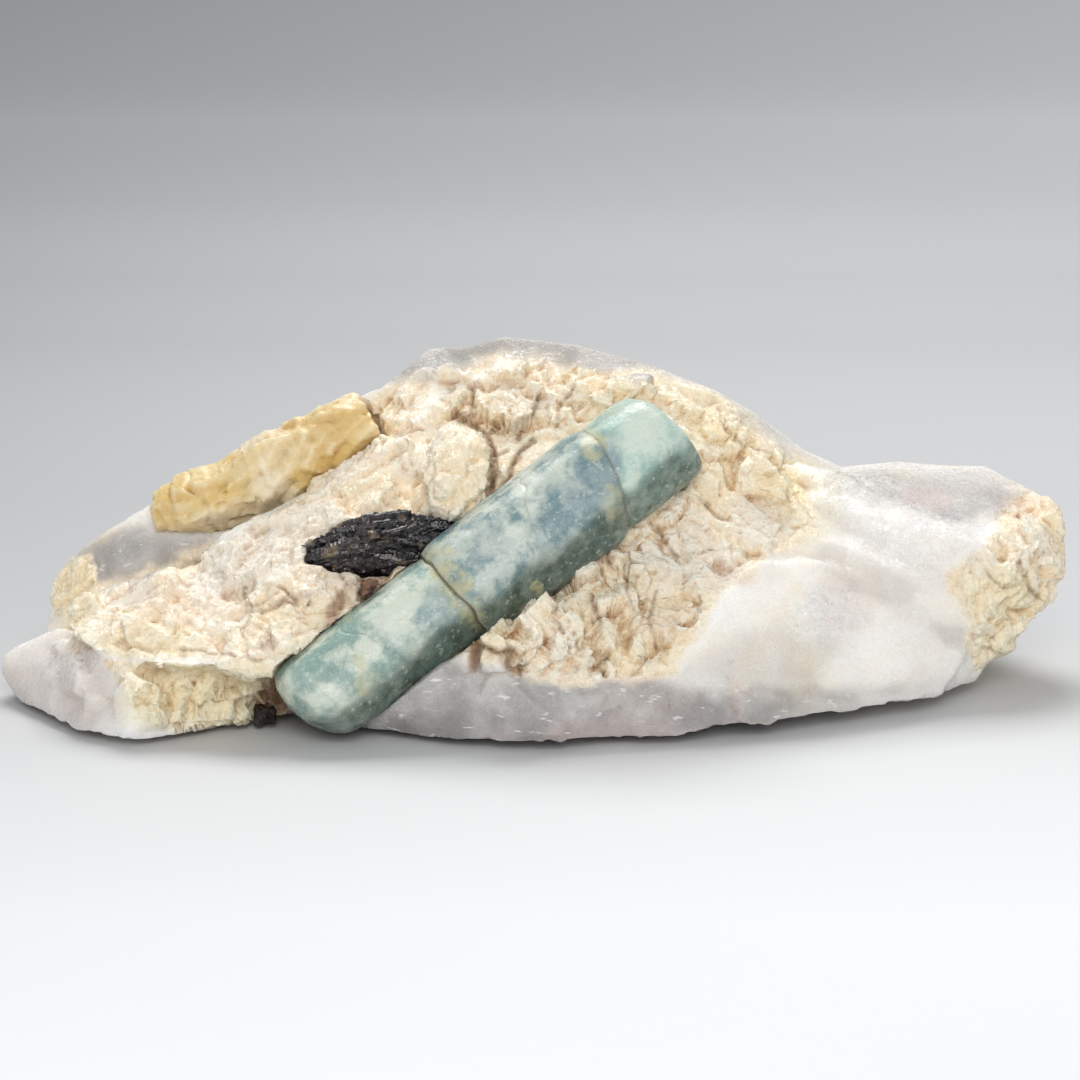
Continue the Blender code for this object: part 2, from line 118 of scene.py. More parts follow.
def places_of(piece):
    """The piece's points in millimetres."""
    spots = np.empty(len(piece.data.vertices) * 3)
    piece.data.vertices.foreach_get("co", spots)
    return spots.reshape(-1, 3) / MM


def normals_of(piece):
    """The way each of the piece's points faces."""
    ways = np.empty(len(piece.data.vertices) * 3)
    piece.data.vertices.foreach_get("normal", ways)
    return ways.reshape(-1, 3)


def put_places(piece, spots):
    """Moves the piece's points to places in millimetres."""
    piece.data.vertices.foreach_set("co", (spots * MM).ravel())
    piece.data.update()


def edges_of(piece):
    """The pairs of points that the piece's edges join."""
    pairs = np.empty(len(piece.data.edges) * 2, dtype=np.int64)
    piece.data.edges.foreach_get("vertices", pairs)
    return pairs.reshape(-1, 2)


def write_mask(piece, name, values):
    """Keeps one number for each point of the piece, for its material to read."""
    mask = piece.data.attributes.new(name, "FLOAT", "POINT")
    mask.data.foreach_set("value", np.clip(values, 0.0, 1.0).astype(np.float32))


def chance(cell, salt):
    """Three fixed numbers from 0 to 1 for each whole-number place."""
    whole = cell.astype(np.int64).astype(np.uint32)
    mixed = whole[:, 0] * np.uint32(73856093) ^ whole[:, 1] * np.uint32(19349663)
    mixed = mixed ^ whole[:, 2] * np.uint32(83492791) ^ np.uint32(salt * 40503 + 977)
    numbers = []
    for turn in range(3):
        mixed = (mixed ^ (mixed >> np.uint32(15))) * np.uint32(2246822519)
        mixed = (mixed ^ (mixed >> np.uint32(13))) * np.uint32(3266489917)
        mixed = mixed ^ (mixed >> np.uint32(16))
        numbers.append((mixed & np.uint32(0xFFFFFF)) / float(0x1000000))
    return np.stack(numbers, axis=1)


def drift(spots, size, salt):
    """A number from -1 to 1 that changes smoothly from place to place over that size."""
    scaled = spots / size
    low = np.floor(scaled).astype(np.int64)
    part = scaled - low
    part = part * part * (3 - 2 * part)
    total = np.zeros(len(spots))
    for x in (0, 1):
        for y in (0, 1):
            for z in (0, 1):
                weight = (part[:, 0] if x else 1 - part[:, 0]) * (part[:, 1] if y else 1 - part[:, 1])
                weight = weight * (part[:, 2] if z else 1 - part[:, 2])
                total += weight * chance(low + (x, y, z), salt)[:, 0]
    return total * 2 - 1


def grains_at(spots, size, salt):
    """The irregular grain that each place lies in, and how far it is from the grain's border."""
    scaled = spots / size
    low = np.floor(scaled).astype(np.int64)
    nearest = np.full(len(spots), 99.0)
    second = np.full(len(spots), 99.0)
    own = np.zeros(low.shape, dtype=np.int64)
    for x in (-1, 0, 1):
        for y in (-1, 0, 1):
            for z in (-1, 0, 1):
                cell = low + (x, y, z)
                away = ((scaled - cell - chance(cell, salt)) ** 2).sum(axis=1)
                closer = away < nearest
                second = np.where(closer, nearest, np.minimum(second, away))
                nearest = np.where(closer, away, nearest)
                own[closer] = cell[closer]
    return own, (np.sqrt(second) - np.sqrt(nearest)) * size / 2


def ramp(values, low, high):
    """From 0 at low to 1 at high, eased at both ends."""
    part = np.clip((values - low) / (high - low), 0.0, 1.0)
    return part * part * (3 - 2 * part)


def average_by(groups, count, values):
    """The mean of the values in each group."""
    weights = np.bincount(groups, minlength=count)
    sums = [np.bincount(groups, values[:, axis], minlength=count) for axis in range(values.shape[1])]
    return np.stack(sums, axis=1) / weights[:, None]


def cleaved(spots, ways, size, salt, tilt, steps, level, edge):
    """How far each place moves when every grain breaks in flat steps that face a way of its own."""
    own, border = grains_at(spots, size, salt)
    names, groups = np.unique(own, axis=0, return_inverse=True)
    groups = groups.ravel()
    count = len(names)
    middle = average_by(groups, count, spots)
    facing = average_by(groups, count, ways)
    own_way = chance(names, salt + 1) * 2 - 1
    facing = facing / (np.linalg.norm(facing, axis=1, keepdims=True) + 0.001) + own_way * tilt
    facing /= np.linalg.norm(facing, axis=1, keepdims=True)
    luck = chance(names, salt + 2)
    step = (steps[0] + (steps[1] - steps[0]) * luck[:, 0])[groups]
    plane = facing[groups]
    height = ((spots - middle[groups]) * plane).sum(axis=1) / step + luck[groups, 2]
    part = height - np.floor(height)
    tread = np.floor(height) + ramp(part, 0.5 - edge, 0.5 + edge)
    move = (tread - height) * step + ((luck[:, 1] - 0.5) * 2 * level)[groups]
    return plane * move[:, None], border


def eased(spots, pairs, times):
    """The points after each has been drawn to the mean of its neighbours a number of times."""
    count = len(spots)
    ends = np.concatenate((pairs[:, 0], pairs[:, 1]))
    others = np.concatenate((pairs[:, 1], pairs[:, 0]))
    share = np.maximum(np.bincount(ends, minlength=count), 1)
    for turn in range(times):
        spots = np.stack([np.bincount(ends, spots[others, k], minlength=count) / share for k in range(3)], axis=1)
    return spots


def hollow(piece, pairs, times):
    """How deep each point lies below the surface around it, in millimetres."""
    spots = places_of(piece)
    return ((eased(spots, pairs, times) - spots) * normals_of(piece)).sum(axis=1)


def seen_at(spots):
    """Where a place on the front appears from the camera, in points of a picture 1080 wide."""
    depth = CAMERA_DISTANCE + spots[:, 1] * math.cos(LOOK_DOWN) - (spots[:, 2] - AIM_HEIGHT) * math.sin(LOOK_DOWN)
    scale = PICTURE_WIDE * LENS / SENSOR / depth
    up = (spots[:, 2] - AIM_HEIGHT) * math.cos(LOOK_DOWN) + spots[:, 1] * math.sin(LOOK_DOWN)
    return PICTURE_WIDE / 2 + spots[:, 0] * scale, PICTURE_WIDE / 2 - up * scale


def on_front(spots):
    """From 1 on the front to 0 at the back, which the picture's places must not reach."""
    return ramp(24.0 - spots[:, 1], 0.0, 14.0)


def off_line(across, down, start, end):
    """How far each place in the picture is from the straight line between two corners."""
    (x0, y0), (x1, y1) = start, end
    long = (x1 - x0) ** 2 + (y1 - y0) ** 2
    part = np.clip(((across - x0) * (x1 - x0) + (down - y0) * (y1 - y0)) / long, 0, 1)
    return np.hypot(across - x0 - part * (x1 - x0), down - y0 - part * (y1 - y0))


def patches(spots, places, ragged=14.0, grain=7.0, salt=90):
    """A mask that is 1 in soft-edged ovals on the front: each given as middle, half sizes and turn."""
    across, down = seen_at(spots)
    mask = np.zeros(len(spots))
    fray = drift(spots, grain, salt) * ragged + drift(spots, grain / 3, salt + 1) * ragged * 0.6
    for x, y, wide, high, turn, strength in places:
        angle = math.radians(turn)
        along = (across - x) * math.cos(angle) - (down - y) * math.sin(angle)
        over = (across - x) * math.sin(angle) + (down - y) * math.cos(angle)
        away = np.sqrt((along / wide) ** 2 + (over / high) ** 2)
        reach = min(wide, high)
        mask = np.maximum(mask, strength * ramp(1.0 - away + fray / reach * 0.5, -0.25, 0.35))
    return mask * on_front(spots)


def region(spots, corners, soft=8.0, ragged=9.0, grain=6.0, salt=60):
    """A mask that is 1 on the front inside an outline given by its corners in the picture."""
    across, down = seen_at(spots)
    inside = np.zeros(len(spots), dtype=bool)
    nearest = np.full(len(spots), 9999.0)
    for (x0, y0), (x1, y1) in zip(corners, corners[1:] + corners[:1]):
        if y0 != y1:
            crossing = ((y0 > down) != (y1 > down)) & (across < (x1 - x0) * (down - y0) / (y1 - y0) + x0)
            inside ^= crossing
        nearest = np.minimum(nearest, off_line(across, down, (x0, y0), (x1, y1)))
    depth = np.where(inside, nearest, -nearest)
    depth = depth + (drift(spots, grain, salt) + drift(spots, grain / 3, salt + 1) * 0.6) * ragged
    return ramp(depth, -soft, soft) * on_front(spots)


def lines(spots, paths, wander=2.0, salt=66):
    """A mask that is 1 along crooked lines on the front: each a width, a strength and its corners."""
    across, down = seen_at(spots)
    across = across + drift(spots, 1.6, salt) * wander
    down = down + drift(spots, 1.6, salt + 1) * wander
    mask = np.zeros(len(spots))
    for wide, strength, corners in paths:
        nearest = np.full(len(spots), 9999.0)
        for start, end in zip(corners, corners[1:]):
            nearest = np.minimum(nearest, off_line(across, down, start, end))
        mask = np.maximum(mask, strength * np.exp(-((nearest / wide) ** 2)))
    return mask * on_front(spots)


FELDSPAR_BAND = [
    (62, 616), (66, 600), (92, 586), (133, 581), (169, 570), (205, 547), (240, 530), (287, 500), (330, 462),
    (350, 420), (390, 388), (440, 368), (500, 357), (560, 361), (640, 372), (700, 386), (738, 404), (768, 427),
    (795, 455), (806, 482), (812, 530), (775, 560), (722, 592), (700, 630), (662, 676), (620, 686), (540, 682),
    (490, 668), (430, 650), (300, 690), (277, 674), (200, 663), (118, 658), (80, 648),
]
FELDSPAR_RECESS = [(104, 660), (200, 664), (284, 674), (300, 700), (288, 728), (240, 736), (196, 744), (140, 716)]
FELDSPAR_END = [
    (1006, 500), (1040, 478), (1076, 490), (1076, 590), (1036, 634), (1012, 660), (974, 680), (964, 650),
    (972, 620), (948, 596), (942, 574), (990, 548),
]
FELDSPAR_LEFT_BLOCK = [(46, 590), (58, 566), (88, 560), (96, 580), (90, 600), (58, 622)]


def feldspar_share(spots):
    """From 0 in quartz to 1 in feldspar."""
    share = region(spots, FELDSPAR_BAND, soft=13.0, ragged=11.0, salt=11)
    for corners, soft in ((FELDSPAR_RECESS, 7.0), (FELDSPAR_END, 9.0), (FELDSPAR_LEFT_BLOCK, 5.0)):
        share = np.maximum(share, region(spots, corners, soft=soft, ragged=6.0, salt=13))
    pockets = ramp(drift(spots, 21.0, 300) + 0.25 * drift(spots, 5.0, 301), 0.34, 0.44)
    return np.maximum(share, pockets * ramp(spots[:, 1], 12.0, 20.0))


CREVICES = (
    (2.6, 1.0, ((462, 421), (476, 426), (488, 438), (494, 455), (492, 478), (496, 498), (486, 514))),
    (2.5, 0.9, ((497, 498), (508, 478), (520, 452), (532, 440))), (2.2, 0.6, ((508, 450), (494, 455))),
    (2.5, 0.8, ((486, 436), (500, 424), (512, 428), (522, 420))),
    (2.2, 0.6, ((470, 385), (474, 405), (466, 420))),
    (2.2, 0.6, ((540, 395), (532, 415), (522, 425), (518, 440))),
    (2.0, 0.5, ((575, 385), (560, 405), (556, 425))), (4.0, 1.0, ((470, 628), (478, 645), (476, 668))),
    (2.6, 0.9, ((480, 645), (500, 652), (512, 648), (508, 668))), (2.4, 0.8, ((522, 655), (520, 676))),
    (2.2, 0.7, ((553, 590), (556, 615), (563, 632))), (2.4, 0.8, ((592, 596), (596, 612), (600, 622))),
    (2.2, 0.8, ((606, 655), (604, 676))), (2.2, 0.7, ((610, 536), (607, 556), (612, 570))),
    (2.0, 0.6, ((575, 632), (580, 652), (578, 672))), (2.0, 0.6, ((630, 560), (626, 585), (634, 610))),
    (2.0, 0.5, ((655, 590), (650, 620), (656, 650))), (2.0, 0.5, ((650, 520), (664, 540), (676, 556))),
    (2.0, 0.5, ((700, 500), (715, 515), (730, 520))), (2.0, 0.6, ((244, 588), (247, 606))),
    (1.8, 0.5, ((247, 606), (262, 604))), (1.8, 0.6, ((280, 586), (296, 600))),
    (1.8, 0.5, ((262, 612), (285, 600), (300, 606))), (1.6, 0.4, ((180, 648), (230, 655), (262, 660))),
    (1.8, 0.5, ((334, 560), (345, 585), (340, 610))), (1.8, 0.6, ((720, 408), (726, 430), (745, 445))),
    (1.8, 0.5, ((745, 445), (770, 452), (782, 470))), (2.0, 0.6, ((1018, 560), (1030, 590), (1042, 600))),
    (2.0, 0.5, ((985, 572), (1005, 590), (1018, 585))),
    (1.2, 0.3, ((731, 655), (728, 690), (735, 712), (737, 742))),
)
QUARTZ_PLATES = (
    (0.9, 7.0, [(800, 468), (860, 476), (930, 513), (1002, 556), (985, 572), (930, 562), (870, 534), (815, 502)]),
    (0.7, 9.0, [(770, 540), (840, 545), (900, 563), (958, 592), (975, 632), (930, 614), (870, 587), (800, 575)]),
    (0.5, 14.0, [(690, 600), (760, 586), (850, 596), (930, 622), (970, 650), (948, 692), (880, 690), (780, 672),
                (690, 655)]),
    (0.6, 6.0, [(738, 692), (850, 700), (940, 692), (913, 712), (855, 718), (805, 738), (770, 746), (738, 742)]),
    (0.5, 4.0, [(100, 545), (170, 524), (240, 534), (200, 560), (140, 590), (88, 600)]),
    (0.5, 4.0, [(360, 690), (470, 655), (560, 684), (600, 700), (560, 735), (440, 742), (370, 736)]),
)

RAISED_BLOCKS = (
    (1.5, [(437, 436), (458, 426), (481, 434), (490, 459), (487, 482), (477, 501), (458, 514), (437, 512),
           (430, 482)]),
    (0.6, [(436, 446), (458, 430), (472, 442), (468, 470), (450, 500), (436, 498)]),
    (1.2, [(488, 402), (500, 394), (520, 396), (532, 408), (528, 424), (512, 432), (502, 420), (490, 424)]),
    (0.9, [(449, 403), (460, 398), (476, 401), (474, 412), (460, 417), (450, 412)]),
    (0.9, [(447, 510), (458, 506), (466, 511), (464, 519), (450, 520)]),
    (0.8, [(402, 440), (420, 432), (430, 446), (426, 470), (412, 478), (400, 462)]),
    (1.3, [(483, 640), (494, 634), (512, 640), (518, 654), (508, 668), (486, 664)]),
    (1.1, [(520, 622), (532, 616), (544, 628), (542, 664), (526, 668), (518, 648)]),
    (1.2, [(548, 600), (562, 596), (568, 628), (564, 660), (552, 664), (546, 636)]),
    (1.0, [(570, 612), (584, 604), (592, 622), (588, 664), (574, 668), (568, 640)]),
    (1.0, [(594, 600), (612, 594), (620, 616), (614, 650), (600, 656), (594, 628)]),
    (1.0, [(556, 568), (574, 560), (596, 566), (604, 584), (586, 592), (562, 590)]),
    (0.9, [(618, 566), (640, 560), (652, 580), (646, 604), (626, 608), (616, 588)]),
    (0.9, [(628, 620), (648, 612), (658, 632), (650, 660), (632, 664)]),
    (0.9, [(700, 412), (722, 404), (740, 420), (734, 438), (712, 440), (700, 428)]),
    (0.8, [(744, 446), (764, 440), (782, 456), (776, 474), (754, 470)]),
    (0.7, [(680, 470), (704, 462), (722, 480), (716, 504), (690, 502)]),
    (0.9, [(1022, 500), (1046, 494), (1062, 516), (1058, 548), (1034, 552), (1020, 528)]),
    (0.9, [(1004, 566), (1024, 560), (1036, 580), (1030, 608), (1008, 606)]),
    (0.9, [(978, 612), (1000, 608), (1010, 630), (996, 652), (976, 644)]),
    (0.5, [(170, 576), (196, 570), (214, 582), (206, 604), (180, 606)]),
    (0.7, [(300, 590), (322, 584), (338, 596), (332, 612), (306, 612)]),
    (0.7, [(268, 626), (292, 618), (312, 630), (306, 650), (276, 650)]),
    (0.6, [(120, 620), (150, 610), (176, 622), (170, 644), (130, 646)]),
    (0.9, [(540, 388), (566, 382), (590, 388), (584, 402), (552, 406)]),
    (0.8, [(600, 384), (630, 378), (660, 388), (650, 402), (612, 400)]),
)

BLOCKY_PLACES = (
    (590, 600, 120, 90, 0, 1.0), (530, 640, 60, 50, 0, 1.0), (520, 405, 90, 40, 0, 1.0),
    (620, 395, 70, 26, -8, 0.7), (720, 440, 70, 70, -30, 0.75), (690, 520, 70, 70, 0, 0.7),
    (200, 705, 90, 34, 0, 1.0), (320, 610, 60, 30, 30, 0.6), (1020, 590, 60, 80, 10, 0.65),
    (395, 425, 40, 40, 0, 0.6), (130, 630, 70, 30, 0, 0.4), (250, 640, 60, 30, 0, 0.5),
)

rock = copy_of_node("matrix", "rock")
cut_fine(rock, ROCK_VOXEL)
spots = places_of(rock)
ways = normals_of(rock)
rock_edges = edges_of(rock)
broad_ways = eased(ways, rock_edges, 10)
share = feldspar_share(spots)

# Feldspar: coarse, middling and fine steps, each worked on the last, boldest where it broke in blocks
blocky = np.maximum(0.38, patches(spots, BLOCKY_PLACES, ragged=10.0, grain=9.0, salt=15))
bold = (share * blocky)[:, None]
upright = patches(spots, ((580, 610, 130, 90, 0, 1.0),), ragged=8.0)[:, None]


def stretched(spots, way, factor):
    """Places drawn together along one way, so that grains found in them come out long that way."""
    way = np.array(way) / np.linalg.norm(way)
    return spots + (spots @ way)[:, None] * way * (factor - 1.0)


along_slope, slope_border = cleaved(
    stretched(spots, (0.8, 0.0, 0.55), 0.6), broad_ways,
    size=9.5, salt=21, tilt=0.36, steps=(1.8, 3.0), level=0.5, edge=0.09,
)
standing, standing_border = cleaved(
    stretched(spots, (0.1, -0.3, 1.0), 0.5), broad_ways,
    size=6.5, salt=22, tilt=0.45, steps=(1.9, 3.0), level=0.75, edge=0.09,
)
spots = spots + (along_slope * (1 - upright) + standing * upright * 1.25) * bold
torn = ramp(drift(spots, 9.0, 5), -0.1, 0.4) * ramp(bold[:, 0], 0.4, 0.9)
border = np.where(upright[:, 0] > 0.5, standing_border, slope_border)
spots = spots - broad_ways * (0.6 * ramp(0.4 - border, 0.0, 0.4) * torn)[:, None]
across, down = seen_at(spots)
for rise, corners in RAISED_BLOCKS:
    columns, rows = zip(*corners)
    near = np.nonzero(
        (across > min(columns) - 12) & (across < max(columns) + 12)
        & (down > min(rows) - 12) & (down < max(rows) + 12) & (spots[:, 1] < 20)
    )[0]
    lifted = region(spots[near], corners, soft=1.6, ragged=3.0, grain=3.0, salt=67) * rise
    spots[near] += broad_ways[near] * lifted[:, None]
move, border = cleaved(spots, broad_ways, size=4.6, salt=31, tilt=0.5, steps=(0.9, 1.5), level=0.2, edge=0.09)
spots = spots + move * bold * (0.8 - 0.3 * upright)
move, border = cleaved(spots, broad_ways, size=2.2, salt=41, tilt=0.7, steps=(0.35, 0.65), level=0.12, edge=0.12)
spots = spots + move * (share * (0.25 + 0.35 * blocky))[:, None] * (1.0 - 0.4 * upright)
spots = spots - broad_ways * (lines(spots, CREVICES) * share)[:, None] * 0.9

# Quartz: broad smooth breaks, with a few low plates that end in a sharp edge
quartz = (1.0 - share)[:, None]
move, border = cleaved(spots, broad_ways, size=22.0, salt=51, tilt=0.16, steps=(3.0, 4.6), level=0.1, edge=0.46)
at_back = ramp(spots[:, 1], 8.0, 20.0)[:, None]
spots = spots + move * quartz * (0.28 + 0.35 * at_back)
move, border = cleaved(spots, broad_ways, size=10.0, salt=55, tilt=0.3, steps=(1.4, 2.4), level=0.35, edge=0.16)
spots = spots + move * quartz * at_back * 0.6
waves = drift(spots, 13.0, 60) * 0.45 + drift(spots, 5.0, 61) * 0.16 + drift(spots, 1.8, 62) * 0.045
spots = spots + broad_ways * waves[:, None] * quartz
for rise, soft, corners in QUARTZ_PLATES:
    raised = region(spots, corners, soft=soft, ragged=5.0, grain=5.0, salt=64) * rise
    spots = spots + broad_ways * raised[:, None]

# The foot: the rim stands a little off the table and turns under
overhang = ramp(spots[:, 0], 10.0, 40.0)
ragged_rim = drift(spots, 4.5, 320) * 0.5 + drift(spots, 1.6, 321) * 0.25
under = ramp(1.6 + 1.3 * overhang + ragged_rim - spots[:, 2], 0.0, 0.9)
spots[:, 0] *= 1.0 - (0.045 + 0.03 * overhang) * under
spots[:, 1] *= 1.0 - (0.24 + 0.12 * overhang) * under
spots[:, 2] = np.maximum(spots[:, 2], 0.0)
put_places(rock, spots)

keep = rock.vertex_groups.new(name="thin")
front = ramp(16.0 - spots[:, 1], 0.0, 20.0) * (0.35 + 0.65 * share)
for level in range(11):
    chosen = np.nonzero(np.round((1.0 - front) * 10) == level)[0]
    keep.add(chosen.tolist(), max(level / 10, 0.02), "REPLACE")
thin = rock.modifiers.new("thin", "DECIMATE")
thin.ratio = ROCK_FACES / (len(rock.data.polygons) * 2)
thin.vertex_group = "thin"
thin.vertex_group_factor = 6.0
apply_modifiers(rock)
rock.vertex_groups.clear()

spots = places_of(rock)
rock_edges = edges_of(rock)
fine_hollow = hollow(rock, rock_edges, 5)
deep_hollow = hollow(rock, rock_edges, 26)
write_mask(rock, "feldspar", feldspar_share(spots))
# Crevice mask: how deep each point lies in a hollow. The feldspar is browned by it: partly iron stain, partly
# painted shade.
write_mask(rock, "crevice_stain_and_shade", ramp(fine_hollow, 0.05, 0.30) * 0.5 + ramp(deep_hollow, 0.3, 1.2) * 0.5)
# Crest mask: where the surface bulges, which the colour paints paler: a painted highlight.
write_mask(rock, "crest_painted_highlight", ramp(-deep_hollow, 0.05, 0.7))
write_mask(rock, "brown_line", lines(spots, CREVICES))
write_mask(rock, "golden", patches(spots, (
    (640, 385, 90, 18, -10, 0.8), (725, 420, 60, 26, -30, 1.0), (785, 470, 36, 40, -35, 1.0),
    (700, 470, 50, 40, -20, 0.5), (600, 600, 80, 50, 0, 0.4), (500, 640, 30, 34, 0, 0.6),
    (300, 640, 60, 40, 0, 0.3), (470, 410, 40, 20, 0, 0.6), (385, 500, 60, 30, 20, 0.3),
    (1055, 500, 22, 40, 0, 0.9), (462, 470, 30, 44, 0, 0.6), (70, 590, 26, 34, 0, 0.7),
    (640, 650, 60, 26, 0, 0.5), (330, 420, 40, 24, -30, 0.5), (130, 640, 50, 20, 0, 0.4),
    (1030, 560, 40, 60, 0, 0.1),
)))
write_mask(rock, "olive", patches(spots, (
    (200, 700, 90, 36, 0, 1.0), (1000, 600, 44, 36, 0, 0.9), (1010, 650, 40, 30, 0, 0.6),
    (815, 510, 24, 44, -20, 0.5), (75, 600, 25, 40, 0, 0.4), (160, 640, 40, 18, 0, 0.4),
    (790, 470, 22, 26, -30, 0.5),
)))
write_mask(rock, "rust", patches(spots, (
    (280, 698, 24, 18, 0, 1.0), (334, 612, 9, 22, -16, 0.8), (368, 586, 22, 10, 0, 0.6),
    (492, 478, 5, 30, -8, 0.7), (462, 418, 12, 6, 0, 0.8), (508, 658, 10, 12, 0, 0.6),
    (474, 655, 7, 18, 0, 0.9), (438, 545, 12, 18, 0, 0.5), (606, 556, 12, 8, 0, 0.5), (268, 642, 10, 8, 0, 0.5),
    (385, 580, 30, 7, 10, 0.5), (290, 600, 26, 6, 20, 0.4), (376, 545, 84, 36, 8, 0.3),
    (345, 598, 20, 5, -40, 0.5),
), ragged=3.5, grain=2.4))
write_mask(rock, "blush", patches(spots, (
    (930, 497, 26, 8, -8, 0.9), (985, 490, 18, 7, 0, 0.8), (845, 605, 26, 34, 0, 0.45),
    (1010, 505, 34, 14, 0, 0.6), (735, 700, 10, 40, 5, 0.6), (60, 690, 60, 50, 0, 0.55),
    (655, 700, 60, 30, 0, 0.4), (190, 600, 60, 26, 0, 0.3), (740, 575, 30, 12, -20, 0.4),
    (610, 735, 90, 14, 0, 0.7), (660, 625, 30, 20, 0, 0.4),
)))
# The dome's top is painted greyer: partly its own glassy grey quartz, partly painted shade for the dimmer light
# on top.
crown_grey_and_shade = 0.85 * ramp(spots[:, 2], 48.0, 53.0)
grey_drift = drift(spots, 16.0, 310) + 0.4 * drift(spots, 5.0, 311)
grey_back = 0.75 * ramp(spots[:, 1], 10.0, 20.0) * ramp(grey_drift, -0.2, 0.4)
# Grey mask: glassy grey quartz, with painted shade in it too on the dome's top and on the lower band that faces
# down.
write_mask(rock, "grey_and_painted_shade", np.maximum(patches(spots, (
    (560, 715, 290, 40, 0, 1.0), (60, 695, 70, 50, 0, 0.3), (150, 562, 80, 36, 0, 0.85),
    (420, 700, 70, 34, 20, 1.0), (750, 670, 110, 40, 20, 0.3), (235, 560, 60, 30, 30, 0.4),
    (790, 720, 100, 30, 15, 0.6), (304, 487, 14, 10, 0, 0.9), (620, 570, 18, 24, 0, 0.4),
    (940, 486, 120, 30, -8, 0.7), (300, 720, 40, 14, 0, 0.8), (868, 574, 60, 16, -28, 0.25),
    (850, 470, 60, 14, -26, 0.35), (760, 430, 70, 12, -34, 0.6), (1040, 520, 20, 20, 0, 0.4),
    (960, 640, 30, 12, -30, 0.3), (850, 705, 90, 16, 12, 0.35),
)), np.maximum(crown_grey_and_shade, grey_back)))
write_mask(rock, "milky", patches(spots, (
    (250, 556, 70, 34, 30, 0.9), (300, 530, 50, 24, 38, 0.7), (120, 600, 50, 16, 10, 0.6),
    (330, 590, 24, 14, 20, 0.5), (345, 470, 40, 14, 38, 0.5), (590, 560, 30, 26, 0, 0.5),
    (700, 560, 60, 30, -20, 0.7), (520, 400, 30, 16, 0, 0.5), (560, 640, 20, 20, 0, 0.4),
    (1000, 560, 30, 30, 0, 0.5), (760, 520, 40, 30, 0, 0.7),
), ragged=14.0, grain=5.0))
# Sugary mask: patches of sugary quartz that glint, also painted paler where their sparkle shows: partly real
# texture, partly painted highlight.
write_mask(rock, "sugary_with_painted_highlight", patches(spots, (
    (890, 545, 50, 18, -28, 1.0), (820, 618, 44, 24, 0, 1.0), (850, 512, 50, 14, -26, 0.8),
    (75, 665, 30, 20, 0, 0.8), (870, 490, 50, 16, -20, 0.5), (940, 540, 40, 16, -28, 0.6),
    (560, 700, 120, 20, 0, 0.35), (390, 700, 40, 20, 30, 0.4),
)))


def new_material(name):
    """A material with its Principled shader and a node tree to build in."""
    made = bpy.data.materials.new(name)
    made.use_nodes = True
    return made, made.node_tree, made.node_tree.nodes["Principled BSDF"]


def node(tree, kind, **values):
    """Adds a node and sets its named inputs and properties."""
    made = tree.nodes.new(kind)
    for name, value in values.items():
        if hasattr(made, name):
            setattr(made, name, value)
        else:
            made.inputs[name.replace("_", " ")].default_value = value
    return made


def feed(tree, socket, value):
    """Gives an input its value: a link from another socket, or a plain number or vector."""
    if isinstance(value, bpy.types.NodeSocket):
        tree.links.new(value, socket)
    else:
        socket.default_value = value


def mask_from(tree, name):
    """Reads one of the piece's own masks."""
    return node(tree, "ShaderNodeAttribute", attribute_name=name).outputs["Fac"]


def blend(tree, factor, low, high):
    """Mixes two colours, each a socket or a plain colour, by a factor."""
    mix = node(tree, "ShaderNodeMix", data_type="RGBA")
    for socket, value in ((mix.inputs[0], factor), (mix.inputs[6], low), (mix.inputs[7], high)):
        feed(tree, socket, (*value, 1.0) if isinstance(value, tuple) else value)
    return mix.outputs[2]


def between(tree, value, low, high, out_low=0.0, out_high=1.0):
    """Maps a number smoothly from one range to another."""
    change = node(tree, "ShaderNodeMapRange", interpolation_type="SMOOTHSTEP")
    tree.links.new(value, change.inputs["Value"])
    change.inputs["From Min"].default_value = low
    change.inputs["From Max"].default_value = high
    change.inputs["To Min"].default_value = out_low
    change.inputs["To Max"].default_value = out_high
    return change.outputs["Result"]


def clouded(tree, scale, low, high, out_low=0.0, out_high=1.0, **noise):
    """Noise that is mapped smoothly from one range to another."""
    return between(tree, cloud(tree, scale, **noise), low, high, out_low, out_high)


def maths(tree, how, first, second):
    """One sum on two numbers, each a socket or a plain number."""
    made = node(tree, "ShaderNodeMath", operation=how)
    feed(tree, made.inputs[0], first)
    feed(tree, made.inputs[1], second)
    return made.outputs[0]


def cloud(tree, scale, detail=3.0, roughness=0.55, stretch=None):
    """Noise over the piece's own place. The scale is patches to the metre."""
    where = node(tree, "ShaderNodeTexCoord").outputs["Object"]
    if stretch:
        drawn_out = node(tree, "ShaderNodeMapping", Scale=stretch)
        tree.links.new(where, drawn_out.inputs["Vector"])
        where = drawn_out.outputs["Vector"]
    noise = node(tree, "ShaderNodeTexNoise", Scale=scale, Detail=detail, Roughness=roughness)
    tree.links.new(where, noise.inputs["Vector"])
    return noise.outputs["Fac"]


def vector_maths(tree, how, first, second):
    """One sum on two vectors. A dot product gives a number."""
    made = node(tree, "ShaderNodeVectorMath", operation=how)
    feed(tree, made.inputs[0], first)
    feed(tree, made.inputs[1], second)
    return made.outputs["Value" if how == "DOT_PRODUCT" else "Vector"]


